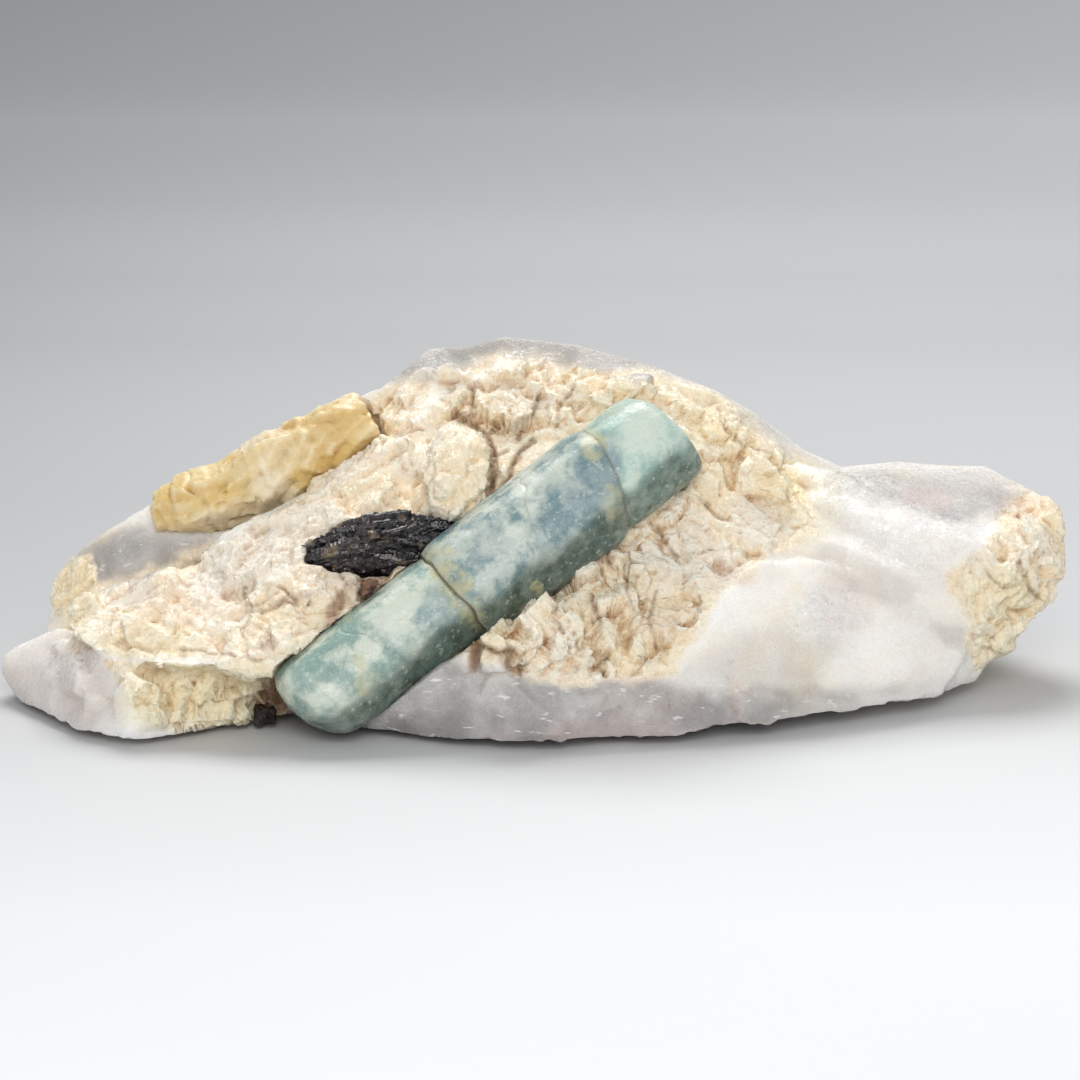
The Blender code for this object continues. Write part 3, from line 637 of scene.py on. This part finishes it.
def mineral_break():
    """The shared fine break of every mineral here: tiny flat chips, each tilted its own way, and a grit."""
    group = bpy.data.node_groups.new("mineral_break", "ShaderNodeTree")
    for name in ("Chip Scale", "Chip Tilt", "Grit Height"):
        group.interface.new_socket(name, in_out="INPUT", socket_type="NodeSocketFloat")
    for name in ("Height", "Chip Shade"):
        group.interface.new_socket(name, in_out="OUTPUT", socket_type="NodeSocketFloat")
    inlet = group.nodes.new("NodeGroupInput")
    outlet = group.nodes.new("NodeGroupOutput")
    where = node(group, "ShaderNodeTexCoord").outputs["Object"]
    total = None
    for share, size in ((0.65, 1.0), (0.35, 3.1)):
        cells = node(group, "ShaderNodeTexVoronoi", feature="F1")
        group.links.new(where, cells.inputs["Vector"])
        scale = maths(group, "MULTIPLY", inlet.outputs["Chip Scale"], size)
        group.links.new(scale, cells.inputs["Scale"])
        from_middle = vector_maths(group, "SUBTRACT", where, cells.outputs["Position"])
        facing = vector_maths(group, "SUBTRACT", cells.outputs["Color"], (0.5, 0.5, 0.5))
        slope = maths(group, "MULTIPLY", vector_maths(group, "DOT_PRODUCT", from_middle, facing), scale)
        slope = maths(group, "MULTIPLY", slope, share)
        total = slope if total is None else maths(group, "ADD", total, slope)
    tilted = maths(group, "MULTIPLY", total, inlet.outputs["Chip Tilt"])
    fine = maths(group, "MULTIPLY", cloud(group, 2600.0), inlet.outputs["Grit Height"])
    group.links.new(maths(group, "ADD", tilted, fine), outlet.inputs["Height"])
    apart = node(group, "ShaderNodeSeparateColor")
    group.links.new(cells.outputs["Color"], apart.inputs["Color"])
    group.links.new(apart.outputs[1], outlet.inputs["Chip Shade"])
    return group


MINERAL_BREAK = mineral_break()


def broken_surface(tree, shader, chip_scale, tilt, grit, distance=0.0004, strength=0.6):
    """Gives a shader the mineral break as its normal, and returns the shade of each chip."""
    group = node(tree, "ShaderNodeGroup")
    group.node_tree = MINERAL_BREAK
    group.inputs["Chip Scale"].default_value = chip_scale
    feed(tree, group.inputs["Chip Tilt"], tilt)
    feed(tree, group.inputs["Grit Height"], grit)
    bump = node(tree, "ShaderNodeBump", Strength=strength, Distance=distance)
    tree.links.new(group.outputs["Height"], bump.inputs["Height"])
    tree.links.new(bump.outputs["Normal"], shader.inputs["Normal"])
    return group.outputs["Chip Shade"]


def tinted(tree, colour, mask, share, tint):
    """The colour with a tint laid over it where the mask is, at most by that share."""
    cover = mask_from(tree, mask) if isinstance(mask, str) else mask
    return blend(tree, maths(tree, "MULTIPLY", cover, share), colour, tint)


def smooth_below(piece, degrees):
    """Shades the piece smooth, but leaves edges sharper than this as they are."""
    pick(piece)
    bpy.ops.object.shade_smooth_by_angle(angle=math.radians(degrees))


rock_stone, tree, shader = new_material("quartz_and_feldspar")
feldspar = between(tree, maths(tree, "ADD", mask_from(tree, "feldspar"),
                               maths(tree, "MULTIPLY", cloud(tree, 420.0), 0.5)), 0.35, 1.05)
sugary_with_painted_highlight = mask_from(tree, "sugary_with_painted_highlight")
tilt = maths(tree, "ADD", maths(tree, "MULTIPLY", feldspar, 1.9), maths(tree, "MULTIPLY", sugary_with_painted_highlight, 2.4))
chip = broken_surface(tree, shader, 560.0, maths(tree, "ADD", tilt, 0.3), 0.35, distance=0.0006, strength=0.8)
crevice_stain_and_shade = mask_from(tree, "crevice_stain_and_shade")

milky = blend(tree, clouded(tree, 60.0, 0.35, 0.65), (0.87, 0.82, 0.75), (0.94, 0.91, 0.85))
milky = blend(tree, clouded(tree, 34.0, 0.58, 0.70, 0.0, 0.5, detail=4.0), milky, (0.86, 0.70, 0.46))
grey_veins = clouded(tree, 38.0, 0.5, 0.68, 0.0, 0.4, stretch=(1, 1, 2.6))
milky = blend(tree, grey_veins, milky, (0.74, 0.73, 0.72))
glassy = blend(tree, clouded(tree, 130.0, 0.35, 0.65), (0.25, 0.235, 0.23), (0.43, 0.41, 0.395))
# Painted shade with grey quartz: where the grey mask is, the quartz is painted glassy grey.
quartz_colour = blend(tree, maths(tree, "MULTIPLY", mask_from(tree, "grey_and_painted_shade"), 0.9), milky, glassy)
flecks = maths(tree, "MULTIPLY", clouded(tree, 620.0, 0.63, 0.68, stretch=(0.4, 1, 1.7)),
               mask_from(tree, "grey_and_painted_shade"))
quartz_colour = tinted(tree, quartz_colour, flecks, 0.6, (0.92, 0.91, 0.90))
# Painted highlight with sugary texture: the sugary patches are painted paler as well as given glinting chips.
quartz_colour = tinted(tree, quartz_colour, sugary_with_painted_highlight, 0.5, (0.88, 0.87, 0.84))

grain_cells = node(tree, "ShaderNodeTexVoronoi", Scale=230.0)
tree.links.new(node(tree, "ShaderNodeTexCoord").outputs["Object"], grain_cells.inputs["Vector"])
shade = node(tree, "ShaderNodeSeparateColor")
tree.links.new(grain_cells.outputs["Color"], shade.inputs["Color"])
grain_shade = maths(tree, "ADD", maths(tree, "MULTIPLY", shade.outputs[0], 0.35),
                    clouded(tree, 260.0, 0.32, 0.68, 0.0, 0.65, detail=4.0))
cream = blend(tree, grain_shade, (0.93, 0.74, 0.50), (0.98, 0.88, 0.71))
cream = blend(tree, clouded(tree, 85.0, 0.45, 0.66, 0.0, 0.4), cream, (0.95, 0.90, 0.81))
cream = tinted(tree, cream, "milky", 0.6, (0.83, 0.80, 0.74))
pale_specks = clouded(tree, 520.0, 0.56, 0.68, 0.0, 0.5)
cream = blend(tree, pale_specks, cream, (0.95, 0.91, 0.82))
brown_specks = clouded(tree, 380.0, 0.62, 0.72, 0.0, 0.4, detail=4.0)
cream = blend(tree, brown_specks, cream, (0.68, 0.49, 0.28))
cream = tinted(tree, cream, "golden", 0.5, (0.90, 0.70, 0.36))
# Painted highlight: the feldspar is painted paler on its crests.
cream = tinted(tree, cream, "crest_painted_highlight", 0.4, (0.96, 0.90, 0.77))
# Painted shade with brown stain: the feldspar turns brown in its crevices, most in the deepest hollows.
cream = blend(tree, maths(tree, "MULTIPLY", crevice_stain_and_shade, clouded(tree, 170.0, 0.35, 0.6, 0.4, 0.95)),
              cream, (0.56, 0.35, 0.17))

stone_colour = blend(tree, feldspar, quartz_colour, cream)
stone_colour = tinted(tree, stone_colour, "olive", 0.45, (0.90, 0.80, 0.50))
stone_colour = tinted(tree, stone_colour, "blush", 0.4, (0.72, 0.54, 0.50))
stone_colour = tinted(tree, stone_colour, "rust", 0.8, (0.26, 0.10, 0.04))
stone_colour = tinted(tree, stone_colour, "brown_line", 0.85, (0.20, 0.11, 0.045))
tree.links.new(stone_colour, shader.inputs["Base Color"])
tree.links.new(between(tree, chip, 0.0, 1.0, 0.22, 0.58), shader.inputs["Roughness"])
tree.links.new(between(tree, feldspar, 0.0, 1.0, 0.6, 0.3), shader.inputs["Subsurface Weight"])
tree.links.new(between(tree, feldspar, 0.0, 1.0, 0.005, 0.0018), shader.inputs["Subsurface Scale"])
shader.inputs["Subsurface Radius"].default_value = (1.0, 0.85, 0.68)
shader.inputs["IOR"].default_value = 1.54

rock.data.materials.append(rock_stone)
smooth_below(rock, 21)
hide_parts("matrix")
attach(rock, "root")


# The aquamarine
# A six-sided beryl prism, milky blue-green, snapped across twice in the rock and healed with a small step
# at each break. Its sides are worn, with fine grooves along it and cloudy patches inside.

CRYSTAL_VOXEL = 0.00028
CRYSTAL_LOW = np.array((-36.6, -35.5, 6.4))
CRYSTAL_HIGH = np.array((20.8, -11.5, 46.0))
CRACKS = (0.383, 0.817)
CRACK_DEPTHS = (0.34, 0.16)
CRACK_HALF_WIDTH = 0.22

crystal_box_low, crystal_box_high = (np.array(corner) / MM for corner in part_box("aquamarine_crystal"))
aquamarine = copy_of_node("aquamarine_crystal", "aquamarine")
cut_fine(aquamarine, CRYSTAL_VOXEL)
spots = places_of(aquamarine)
ways = normals_of(aquamarine)

# The crystal's own directions: along it, across it to the lower right, and out to the viewer
part_slide = (crystal_box_low + crystal_box_high) / 2 - (CRYSTAL_LOW + CRYSTAL_HIGH) / 2
part_slide[2] = 0.0
crystal_length = np.linalg.norm(CRYSTAL_HIGH - CRYSTAL_LOW)
crystal_along = (CRYSTAL_HIGH - CRYSTAL_LOW) / crystal_length
crystal_beside = np.cross(crystal_along, (0.0, -0.974, 0.225))
crystal_beside /= np.linalg.norm(crystal_beside)
crystal_facing = np.cross(crystal_beside, crystal_along)


def crystal_places(spots):
    """Places in the crystal's own directions: millimetres from its low end, across and out."""
    from_low = spots - CRYSTAL_LOW - part_slide
    return np.stack((from_low @ crystal_along, from_low @ crystal_beside, from_low @ crystal_facing), axis=1)


def crack_distance(own, crack):
    """How far along the crystal a place is from a crack, which wanders a little."""
    line = crystal_length * CRACKS[crack] + own[:, 1] * (-0.26 if crack else 0.02)
    return own[:, 0] - line - drift(own, 4.0, 71 + crack) * 0.5


aquamarine_edges = edges_of(aquamarine)
own = crystal_places(spots)
healing = sum(np.exp(-(crack_distance(own, crack) / 1.7) ** 2) for crack in (0, 1))[:, None]
for turn in range(6):
    spots = spots + (eased(spots, aquamarine_edges, 8) - spots) * healing
spots = spots * 0.25 + eased(spots, aquamarine_edges, 36) * 0.75
put_places(aquamarine, spots)
ways = normals_of(aquamarine)
spots = spots + ways * 0.34
own = crystal_places(spots)
from_axis = np.hypot(own[:, 1], own[:, 2])
swell = 1.9 * (1.0 - ramp(from_axis, 1.5, 9.0)) * ramp(3.0 - own[:, 0], 0.0, 2.6)
spots = spots - crystal_along * (swell + 0.6 * ramp(4.0 - own[:, 0], 0.0, 3.0))[:, None]
grooves = drift(own * (0.05, 1.0, 1.0), 1.3, 73) * 0.07 + drift(own * (0.12, 1.0, 1.0), 0.55, 74) * 0.035
wear = drift(spots, 5.0, 75) * 0.16 + drift(spots, 1.7, 76) * 0.07 + drift(spots, 0.7, 77) * 0.03
cracks = sum(
    -depth * np.exp(-(crack_distance(own, crack) / CRACK_HALF_WIDTH) ** 2)
    for crack, depth in enumerate(CRACK_DEPTHS)
)
step_up = 0.25 * ramp(crack_distance(own, 0), -0.2, 0.3)
faint = -0.14 * np.exp(-((own[:, 0] - 14.0 - own[:, 1] * 0.5 - drift(own, 3.0, 81) * 1.2) / 0.25) ** 2)
faint = faint - 0.14 * np.exp(-((own[:, 0] - 43.0 + own[:, 1] * 0.6 - drift(own, 3.0, 82) * 1.2) / 0.25) ** 2)
put_places(aquamarine, spots + ways * (grooves + wear + cracks + step_up + faint)[:, None])

spots = places_of(aquamarine)
own = crystal_places(spots)
aquamarine_edges = edges_of(aquamarine)
# Masks of the crystal's hollows and crests, by which its colour gets painted shade and a painted highlight.
write_mask(aquamarine, "beryl_hollow_painted_shade", ramp(hollow(aquamarine, aquamarine_edges, 8), 0.01, 0.12))
write_mask(aquamarine, "beryl_crest_painted_highlight", ramp(-hollow(aquamarine, aquamarine_edges, 14), 0.02, 0.25))
near_crack = sum(share * np.exp(-(crack_distance(own, crack) / 0.26) ** 2) for crack, share in ((0, 1), (1, 0.4)))
write_mask(aquamarine, "crack", near_crack)
write_mask(aquamarine, "lower_length", ramp(-crack_distance(own, 0), -0.4, 0.4))
write_mask(aquamarine, "upper_length", ramp(crack_distance(own, 1), -0.4, 0.4))
write_mask(aquamarine, "healed", patches(spots, (
    (452, 580, 17, 30, 30, 1.0), (470, 610, 12, 18, 0, 0.7), (593, 445, 12, 16, 0, 0.9),
    (440, 558, 20, 12, 0, 0.8), (612, 500, 8, 16, 0, 0.6), (362, 672, 8, 26, 20, 0.8), (535, 587, 7, 5, 0, 0.9),
    (340, 610, 22, 7, -36, 0.5), (600, 410, 16, 8, 0, 0.5),
), ragged=9.0, grain=2.2))
write_mask(aquamarine, "cloud", patches(spots, (
    (528, 492, 16, 26, 30, 1.0), (396, 630, 18, 28, 30, 0.9), (505, 520, 8, 40, 40, 0.7),
    (650, 420, 40, 22, -30, 0.5), (330, 690, 26, 20, 0, 0.15), (560, 470, 30, 8, -37, 0.5),
    (480, 530, 14, 30, 30, 0.5), (372, 700, 12, 8, 0, 0.8),
), ragged=12.0, grain=2.6))
write_mask(aquamarine, "deep_blue", patches(spots, (
    (595, 480, 24, 44, -20, 1.0), (485, 545, 18, 22, 0, 0.7), (440, 610, 24, 26, 0, 0.7),
    (555, 530, 30, 24, -37, 0.5), (560, 500, 16, 20, 0, 0.5),
), ragged=12.0, grain=3.4))
write_mask(aquamarine, "shaded_side", ramp(own[:, 1] - own[:, 2] * 0.25 + drift(spots, 3.0, 83) * 1.2, 0.0, 3.4))

BERYL_SHADES = (
    (190.0, (0.24, 0.36, 0.32), (0.62, 0.67, 0.57)),
    (210.0, (0.16, 0.26, 0.27), (0.50, 0.56, 0.50)),
    (180.0, (0.33, 0.49, 0.43), (0.58, 0.68, 0.59)),
)

beryl, tree, shader = new_material("milky_aquamarine")
chip = broken_surface(tree, shader, 900.0, 0.35, 0.6, distance=0.0003, strength=0.5)
teal, slate, pale = (
    blend(tree, clouded(tree, patch_scale, 0.40, 0.60, detail=4.0, roughness=0.6), dark, light)
    for patch_scale, dark, light in BERYL_SHADES
)
beryl_colour = blend(tree, mask_from(tree, "lower_length"), slate, teal)
beryl_colour = blend(tree, mask_from(tree, "upper_length"), beryl_colour, pale)
beryl_colour = tinted(tree, beryl_colour, "deep_blue", 0.65, (0.14, 0.23, 0.27))
cloud_fray = clouded(tree, 420.0, 0.3, 0.6, 0.45, 1.0)
ragged_cloud = maths(tree, "MULTIPLY", mask_from(tree, "cloud"), cloud_fray)
beryl_colour = tinted(tree, beryl_colour, ragged_cloud, 0.75, (0.66, 0.69, 0.60))
shade_fray = clouded(tree, 380.0, 0.3, 0.7, 0.6, 1.0)
shaded = maths(tree, "MULTIPLY", mask_from(tree, "shaded_side"), shade_fray)
beryl_colour = blend(tree, shaded, beryl_colour, (0.055, 0.09, 0.065))
# Fine pale specks: partly the crystal's own specks, partly painted glints.
pale_specks_and_glints = clouded(tree, 1100.0, 0.62, 0.68, detail=2.0)
beryl_colour = tinted(tree, beryl_colour, pale_specks_and_glints, 0.4, (0.66, 0.70, 0.60))
# Painted highlight on the crystal's crests, then painted shade in its hollows.
beryl_colour = tinted(tree, beryl_colour, "beryl_crest_painted_highlight", 0.45, (0.72, 0.78, 0.70))
beryl_colour = tinted(tree, beryl_colour, "beryl_hollow_painted_shade", 0.5, (0.17, 0.20, 0.14))
heal_fray = clouded(tree, 500.0, 0.35, 0.6, 0.2, 0.75)
ragged_heal = maths(tree, "MULTIPLY", mask_from(tree, "healed"), heal_fray)
beryl_colour = blend(tree, ragged_heal, beryl_colour, (0.56, 0.53, 0.30))
beryl_colour = tinted(tree, beryl_colour, "crack", 0.75, (0.16, 0.11, 0.05))
tree.links.new(beryl_colour, shader.inputs["Base Color"])
tree.links.new(between(tree, chip, 0.0, 1.0, 0.24, 0.48), shader.inputs["Roughness"])
shader.inputs["Subsurface Weight"].default_value = 0.25
shader.inputs["Subsurface Radius"].default_value = (0.8, 1.0, 0.9)
shader.inputs["Subsurface Scale"].default_value = 0.002
shader.inputs["IOR"].default_value = 1.58

aquamarine.data.materials.append(beryl)
smooth_below(aquamarine, 40)
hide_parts("aquamarine_crystal")
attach(aquamarine, "root")


# The yellow crystal
# A smaller prism, honey-yellow and waxy, lying along the ridge. It is broken across many times, and each
# break stands off the next a little.

YELLOW_VOXEL = 0.0004
YELLOW_BREAKS_APART = 6.5

yellow = copy_of_node("yellow_crystal", "yellow_prism")
cut_fine(yellow, YELLOW_VOXEL)
spots = places_of(yellow)
ways = normals_of(yellow)
yellow_edges = edges_of(yellow)
broad_ways = eased(ways, yellow_edges, 8)
yellow_along = np.array((0.911, 0.013, 0.41))
move, border = cleaved(
    stretched(spots, yellow_along, 0.8), broad_ways,
    size=8.0, salt=101, tilt=0.4, steps=(1.4, 2.4), level=0.45, edge=0.12,
)
spots = spots + move * 0.6
crossing = (spots @ yellow_along + drift(spots, 3.5, 104) * 1.4) / YELLOW_BREAKS_APART
gap = np.abs(crossing - np.round(crossing)) * YELLOW_BREAKS_APART
lift = chance(np.stack((np.floor(crossing + 0.5),) * 3, axis=1), 105)[:, 0] - 0.5
spots = spots + broad_ways * (lift * 0.5 * ramp(gap, 0.0, 0.5))[:, None]
groove = 0.35 * np.exp(-((gap / 0.3) ** 2)) * ramp(drift(spots, 6.0, 106), -0.4, 0.3)
spots = spots - broad_ways * groove[:, None]
move, border = cleaved(spots, broad_ways, size=3.4, salt=111, tilt=0.5, steps=(0.5, 0.9), level=0.15, edge=0.14)
spots = spots + move * 0.5
spots = spots + ways * (drift(spots, 2.6, 113) * 0.22 + drift(spots, 1.1, 112) * 0.08)[:, None]
spots = spots * 0.5 + eased(spots, yellow_edges, 1) * 0.5
put_places(yellow, spots)
# Gaps mask: the dark breaks between the pieces, and painted shade in the other hollows.
write_mask(yellow, "gaps_and_hollow_shade", ramp(hollow(yellow, yellow_edges, 12), 0.03, 0.35))
# Crest mask: where the surface bulges, which the colour paints paler: a painted highlight.
write_mask(yellow, "crest_painted_highlight", ramp(-hollow(yellow, yellow_edges, 16), 0.05, 0.5))
write_mask(yellow, "honey", patches(spots, (
    (225, 510, 34, 30, 0, 1.0), (180, 505, 34, 24, 0, 0.7), (350, 420, 26, 26, 0, 0.6),
    (300, 480, 60, 12, 38, 0.8), (345, 450, 40, 10, 38, 0.9),
)))

heliodor, tree, shader = new_material("honey_crystal")
chip = broken_surface(tree, shader, 700.0, 0.5, 0.5, distance=0.0004)
honey = blend(tree, clouded(tree, 140.0, 0.35, 0.65, detail=4.0), (0.69, 0.48, 0.19), (0.80, 0.65, 0.36))
honey = tinted(tree, honey, "honey", 0.6, (0.76, 0.53, 0.17))
# Painted highlight: the crystal is painted paler on its crests.
honey = tinted(tree, honey, "crest_painted_highlight", 0.4, (0.92, 0.84, 0.66))
honey = blend(tree, clouded(tree, 75.0, 0.48, 0.64, 0.0, 0.6), honey, (0.90, 0.82, 0.66))
# Dark breaks and painted shade: the crystal is painted brown in its gaps and hollows.
honey = tinted(tree, honey, "gaps_and_hollow_shade", 0.6, (0.50, 0.33, 0.10))
tree.links.new(honey, shader.inputs["Base Color"])
tree.links.new(between(tree, chip, 0.0, 1.0, 0.25, 0.5), shader.inputs["Roughness"])
shader.inputs["Subsurface Weight"].default_value = 0.35
shader.inputs["Subsurface Radius"].default_value = (1.0, 0.75, 0.4)
shader.inputs["Subsurface Scale"].default_value = 0.003

yellow.data.materials.append(heliodor)
smooth_below(yellow, 35)
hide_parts("yellow_crystal")
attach(yellow, "root")


# The mica
# Black biotite grown as a packed spindle of thin, springy leaves. The mass breaks in flat glossy steps along
# the spindle, and loose leaves stand off it at all angles and fray its outline.

MICA_VOXEL = 0.00022
MICA_SLOPE = math.radians(13.0)
ROCK_OUT = Vector((0.0, -0.72, 0.69)).normalized()
mica_low, mica_high = (Vector(corner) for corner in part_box("biotite_patch"))
mica_middle = (mica_low + mica_high) / 2
mica_along = Vector((math.cos(MICA_SLOPE), 0.0, math.sin(MICA_SLOPE)))
mica_along = (mica_along - ROCK_OUT * mica_along.dot(ROCK_OUT)).normalized()
mica_up = mica_along.cross(-ROCK_OUT).normalized()
mica_turn = Matrix((mica_along, -ROCK_OUT, mica_up)).transposed().to_4x4()

mica = copy_of_node("biotite_patch", "mica_leaves")
cut_fine(mica, MICA_VOXEL)
spots = places_of(mica)
broad_ways = eased(normals_of(mica), edges_of(mica), 8)
for breaking in (
    {"size": 3.4, "salt": 201, "tilt": 0.5, "steps": (0.5, 1.0), "level": 0.4},
    {"size": 1.5, "salt": 205, "tilt": 0.7, "steps": (0.25, 0.5), "level": 0.25},
):
    move, border = cleaved(stretched(spots, mica_along, 0.45), broad_ways, edge=0.08, **breaking)
    spots = spots + move
put_places(mica, spots)

LEAF_RADIUS, LEAF_THICK = 1.0, 0.22
LEAVES = 420
SPINDLE_HALF_LONG, SPINDLE_HALF_HIGH, SPINDLE_SWELL, SPINDLE_DEEP = 11.8, 3.8, 2.4, 2.2

# One leaf, six-cornered, its middle raised a little; the rest are copies laid in by chance
bpy.ops.object.select_all(action="DESELECT")
bpy.ops.mesh.primitive_cylinder_add(
    vertices=6, radius=LEAF_RADIUS * MM, depth=LEAF_THICK * MM, location=(0, 0, 0)
)
leaf = bpy.context.active_object
bpy.ops.object.mode_set(mode="EDIT")
bpy.ops.mesh.select_all(action="DESELECT")
leaf_mesh = bmesh.from_edit_mesh(leaf.data)
for face in leaf_mesh.faces:
    face.select_set(abs(face.normal.z) > 0.9)
bmesh.update_edit_mesh(leaf.data)
bpy.ops.mesh.inset(thickness=0.22 * MM, depth=0.05 * MM)
bpy.ops.transform.translate(value=(0.10 * MM, 0.05 * MM, 0.0))
bpy.ops.object.mode_set(mode="OBJECT")

luck = np.random.default_rng(7)
leaves = []
for count in range(LEAVES):
    across = luck.uniform(-1, 1)
    up = luck.uniform(-1, 1) * math.sqrt(1 - across * across * 0.9)
    swell = math.sqrt(max(0.0, 1 - across * across * 0.85 - up * up * 0.6))
    inward = luck.uniform(0.1, 0.9)
    offset = mica_turn.to_3x3() @ Vector((
        across * SPINDLE_HALF_LONG, inward * SPINDLE_DEEP - swell * SPINDLE_SWELL, up * SPINDLE_HALF_HIGH
    )) * MM
    size = min(math.exp(luck.normal(-0.45, 0.5)), 2.2)
    copy = bpy.data.objects.new("leaf", leaf.data.copy())
    bpy.context.scene.collection.objects.link(copy)
    copy.matrix_world = (
        Matrix.Translation(mica_middle + offset) @ mica_turn
        @ Matrix.Rotation(luck.normal(0, 0.35), 4, "Y")
        @ Matrix.Rotation(luck.normal(0, 0.9), 4, "X")
        @ Matrix.Rotation(luck.normal(0, 0.5), 4, "Z")
        @ Matrix.Diagonal((
            size * luck.uniform(0.9, 1.6), size * luck.uniform(0.4, 0.8), luck.uniform(0.4, 1.1), 1.0
        ))
    )
    leaves.append(copy)
bpy.data.objects.remove(leaf)
bpy.ops.object.select_all(action="DESELECT")
for copy in leaves:
    copy.select_set(True)
mica.select_set(True)
bpy.context.view_layer.objects.active = mica
bpy.ops.object.join()

biotite, tree, shader = new_material("black_mica")
chip = broken_surface(tree, shader, 1800.0, 0.3, 0.4, distance=0.0002)
sheet = blend(tree, clouded(tree, 260.0, 0.45, 0.62), (0.009, 0.007, 0.009), (0.038, 0.028, 0.027))
sheet = blend(tree, clouded(tree, 190.0, 0.60, 0.70, detail=2.0), sheet, (0.15, 0.11, 0.07))
tree.links.new(sheet, shader.inputs["Base Color"])
tree.links.new(between(tree, chip, 0.0, 1.0, 0.10, 0.42), shader.inputs["Roughness"])
shader.inputs["IOR"].default_value = 1.6
mica.data.materials.clear()
mica.data.materials.append(biotite)
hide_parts("biotite_patch")
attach(mica, "root")


# The dark flake and the brown grain
# Two small inclusions: a flake of the same mica in the hollow at the lower left, and a dull red-brown grain
# under the mica, both worn to rough lumps.

LUMP_VOXEL = 0.00016

for node_name, piece_name, slot, dark, light in (
    ("biotite_flake", "dark_flake", "mica", (0.010, 0.006, 0.005), (0.05, 0.025, 0.018)),
    ("brown_grain", "brown_lump", "brown_grain", (0.07, 0.03, 0.018), (0.20, 0.10, 0.055)),
):
    lump = copy_of_node(node_name, piece_name)
    cut_fine(lump, LUMP_VOXEL)
    spots = places_of(lump)
    ways = eased(normals_of(lump), edges_of(lump), 6)
    gnaw = drift(spots, 2.2, 125) * 0.55 + drift(spots, 0.8, 126) * 0.2 - 0.25
    spots = spots + ways * gnaw[:, None]
    move, border = cleaved(spots, ways, size=1.6, salt=121, tilt=0.9, steps=(0.5, 0.9), level=0.3, edge=0.1)
    put_places(lump, spots + move)
    lump_stone, tree, shader = new_material(piece_name)
    broken_surface(tree, shader, 2400.0, 0.5, 0.6, distance=0.0002)
    skin = blend(tree, clouded(tree, 700.0, 0.4, 0.62), dark, light)
    tree.links.new(skin, shader.inputs["Base Color"])
    shader.inputs["Roughness"].default_value = 0.45
    lump.data.materials.append(lump_stone)
    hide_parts(node_name)
    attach(lump, "root")


# The table and the light
# A pale seamless table, painted darker to grey behind, darker towards the left in the distance and darker where
# the overhead lamp's light pools: painted shade for the fall of the light. Two broad soft lamps stand overhead
# and in front, and a white room gives back their light.

EYE_BACK, EYE_HEIGHT = 0.497, 0.1397
NEAREST = 0.3
STEEPEST = 0.5

# How grey the table is painted, by the camera's height over the distance to each place: painted shade for the
# fall of the light, darker where the overhead lamp's light pools
TABLE_PAINTED_SHADES = (
    (0.049, 0.879), (0.088, 0.970), (0.1146, 0.695), (0.141, 0.505), (0.1618, 0.445), (0.2169, 0.463),
    (0.2734, 0.534), (0.3203, 0.687), (0.3683, 0.769), (0.45, 0.797),
)
bpy.ops.object.select_all(action="DESELECT")
bpy.ops.mesh.primitive_plane_add(size=8.0, location=(0, 1.6, 0))
table = bpy.context.active_object
table.name = "table"
bpy.ops.object.transform_apply(location=True, rotation=False, scale=False)
paper, tree, shader = new_material("pale_table")
apart = node(tree, "ShaderNodeSeparateXYZ")
tree.links.new(node(tree, "ShaderNodeTexCoord").outputs["Object"], apart.inputs["Vector"])
depth = maths(tree, "MAXIMUM", maths(tree, "ADD", apart.outputs["Y"], EYE_BACK), NEAREST)
nearness = maths(tree, "DIVIDE", EYE_HEIGHT, depth)
ramp_node = node(tree, "ShaderNodeValToRGB")
tree.links.new(maths(tree, "DIVIDE", nearness, STEEPEST), ramp_node.inputs["Fac"])
stops = ramp_node.color_ramp.elements
stops[0].position, stops[1].position = TABLE_PAINTED_SHADES[0][0] / STEEPEST, TABLE_PAINTED_SHADES[-1][0] / STEEPEST
for place, grey_and_painted_shade in TABLE_PAINTED_SHADES[1:-1]:
    stops.new(place / STEEPEST)
for stop, (place, grey_and_painted_shade) in zip(stops, TABLE_PAINTED_SHADES):
    stop.color = (grey_and_painted_shade, grey_and_painted_shade * 1.005, grey_and_painted_shade * 1.01, 1.0)
# Painted shade: the table is also painted darker towards the left, most in the distance.
painted_side_shade = maths(tree, "MULTIPLY", maths(tree, "DIVIDE", apart.outputs["X"], depth),
             maths(tree, "SUBTRACT", 1.4, maths(tree, "MULTIPLY", nearness, 3.2)))
shaded_table = node(tree, "ShaderNodeVectorMath", operation="SCALE")
tree.links.new(ramp_node.outputs["Color"], shaded_table.inputs[0])
tree.links.new(maths(tree, "ADD", painted_side_shade, 1.0), shaded_table.inputs["Scale"])
tree.links.new(shaded_table.outputs["Vector"], shader.inputs["Base Color"])
shader.inputs["Roughness"].default_value = 0.75
table.data.materials.append(paper)


LAMP_AIM = Vector((0.0, 0.0, 0.02))


def soft_lamp(name, power, size, place):
    """A square soft lamp that faces the middle of the rock."""
    data = bpy.data.lights.new(name, "AREA")
    data.energy = power
    data.size = size
    lamp = bpy.data.objects.new(name, data)
    lamp.location = place
    lamp.rotation_euler = (LAMP_AIM - Vector(place)).to_track_quat("-Z", "Y").to_euler()
    bpy.context.scene.collection.objects.link(lamp)


soft_lamp("overhead", power=3.6, size=0.36, place=(-0.04, 0.32, 0.60))
soft_lamp("front", power=4.2, size=0.5, place=(0.04, -0.80, 0.50))

room = bpy.data.worlds.new("white_room")
room.use_nodes = True
room.node_tree.nodes["Background"].inputs["Color"].default_value = (0.95, 0.97, 1.0, 1.0)
room.node_tree.nodes["Background"].inputs["Strength"].default_value = 0.42
bpy.context.scene.world = room
bpy.context.scene.view_settings.view_transform = "Standard"
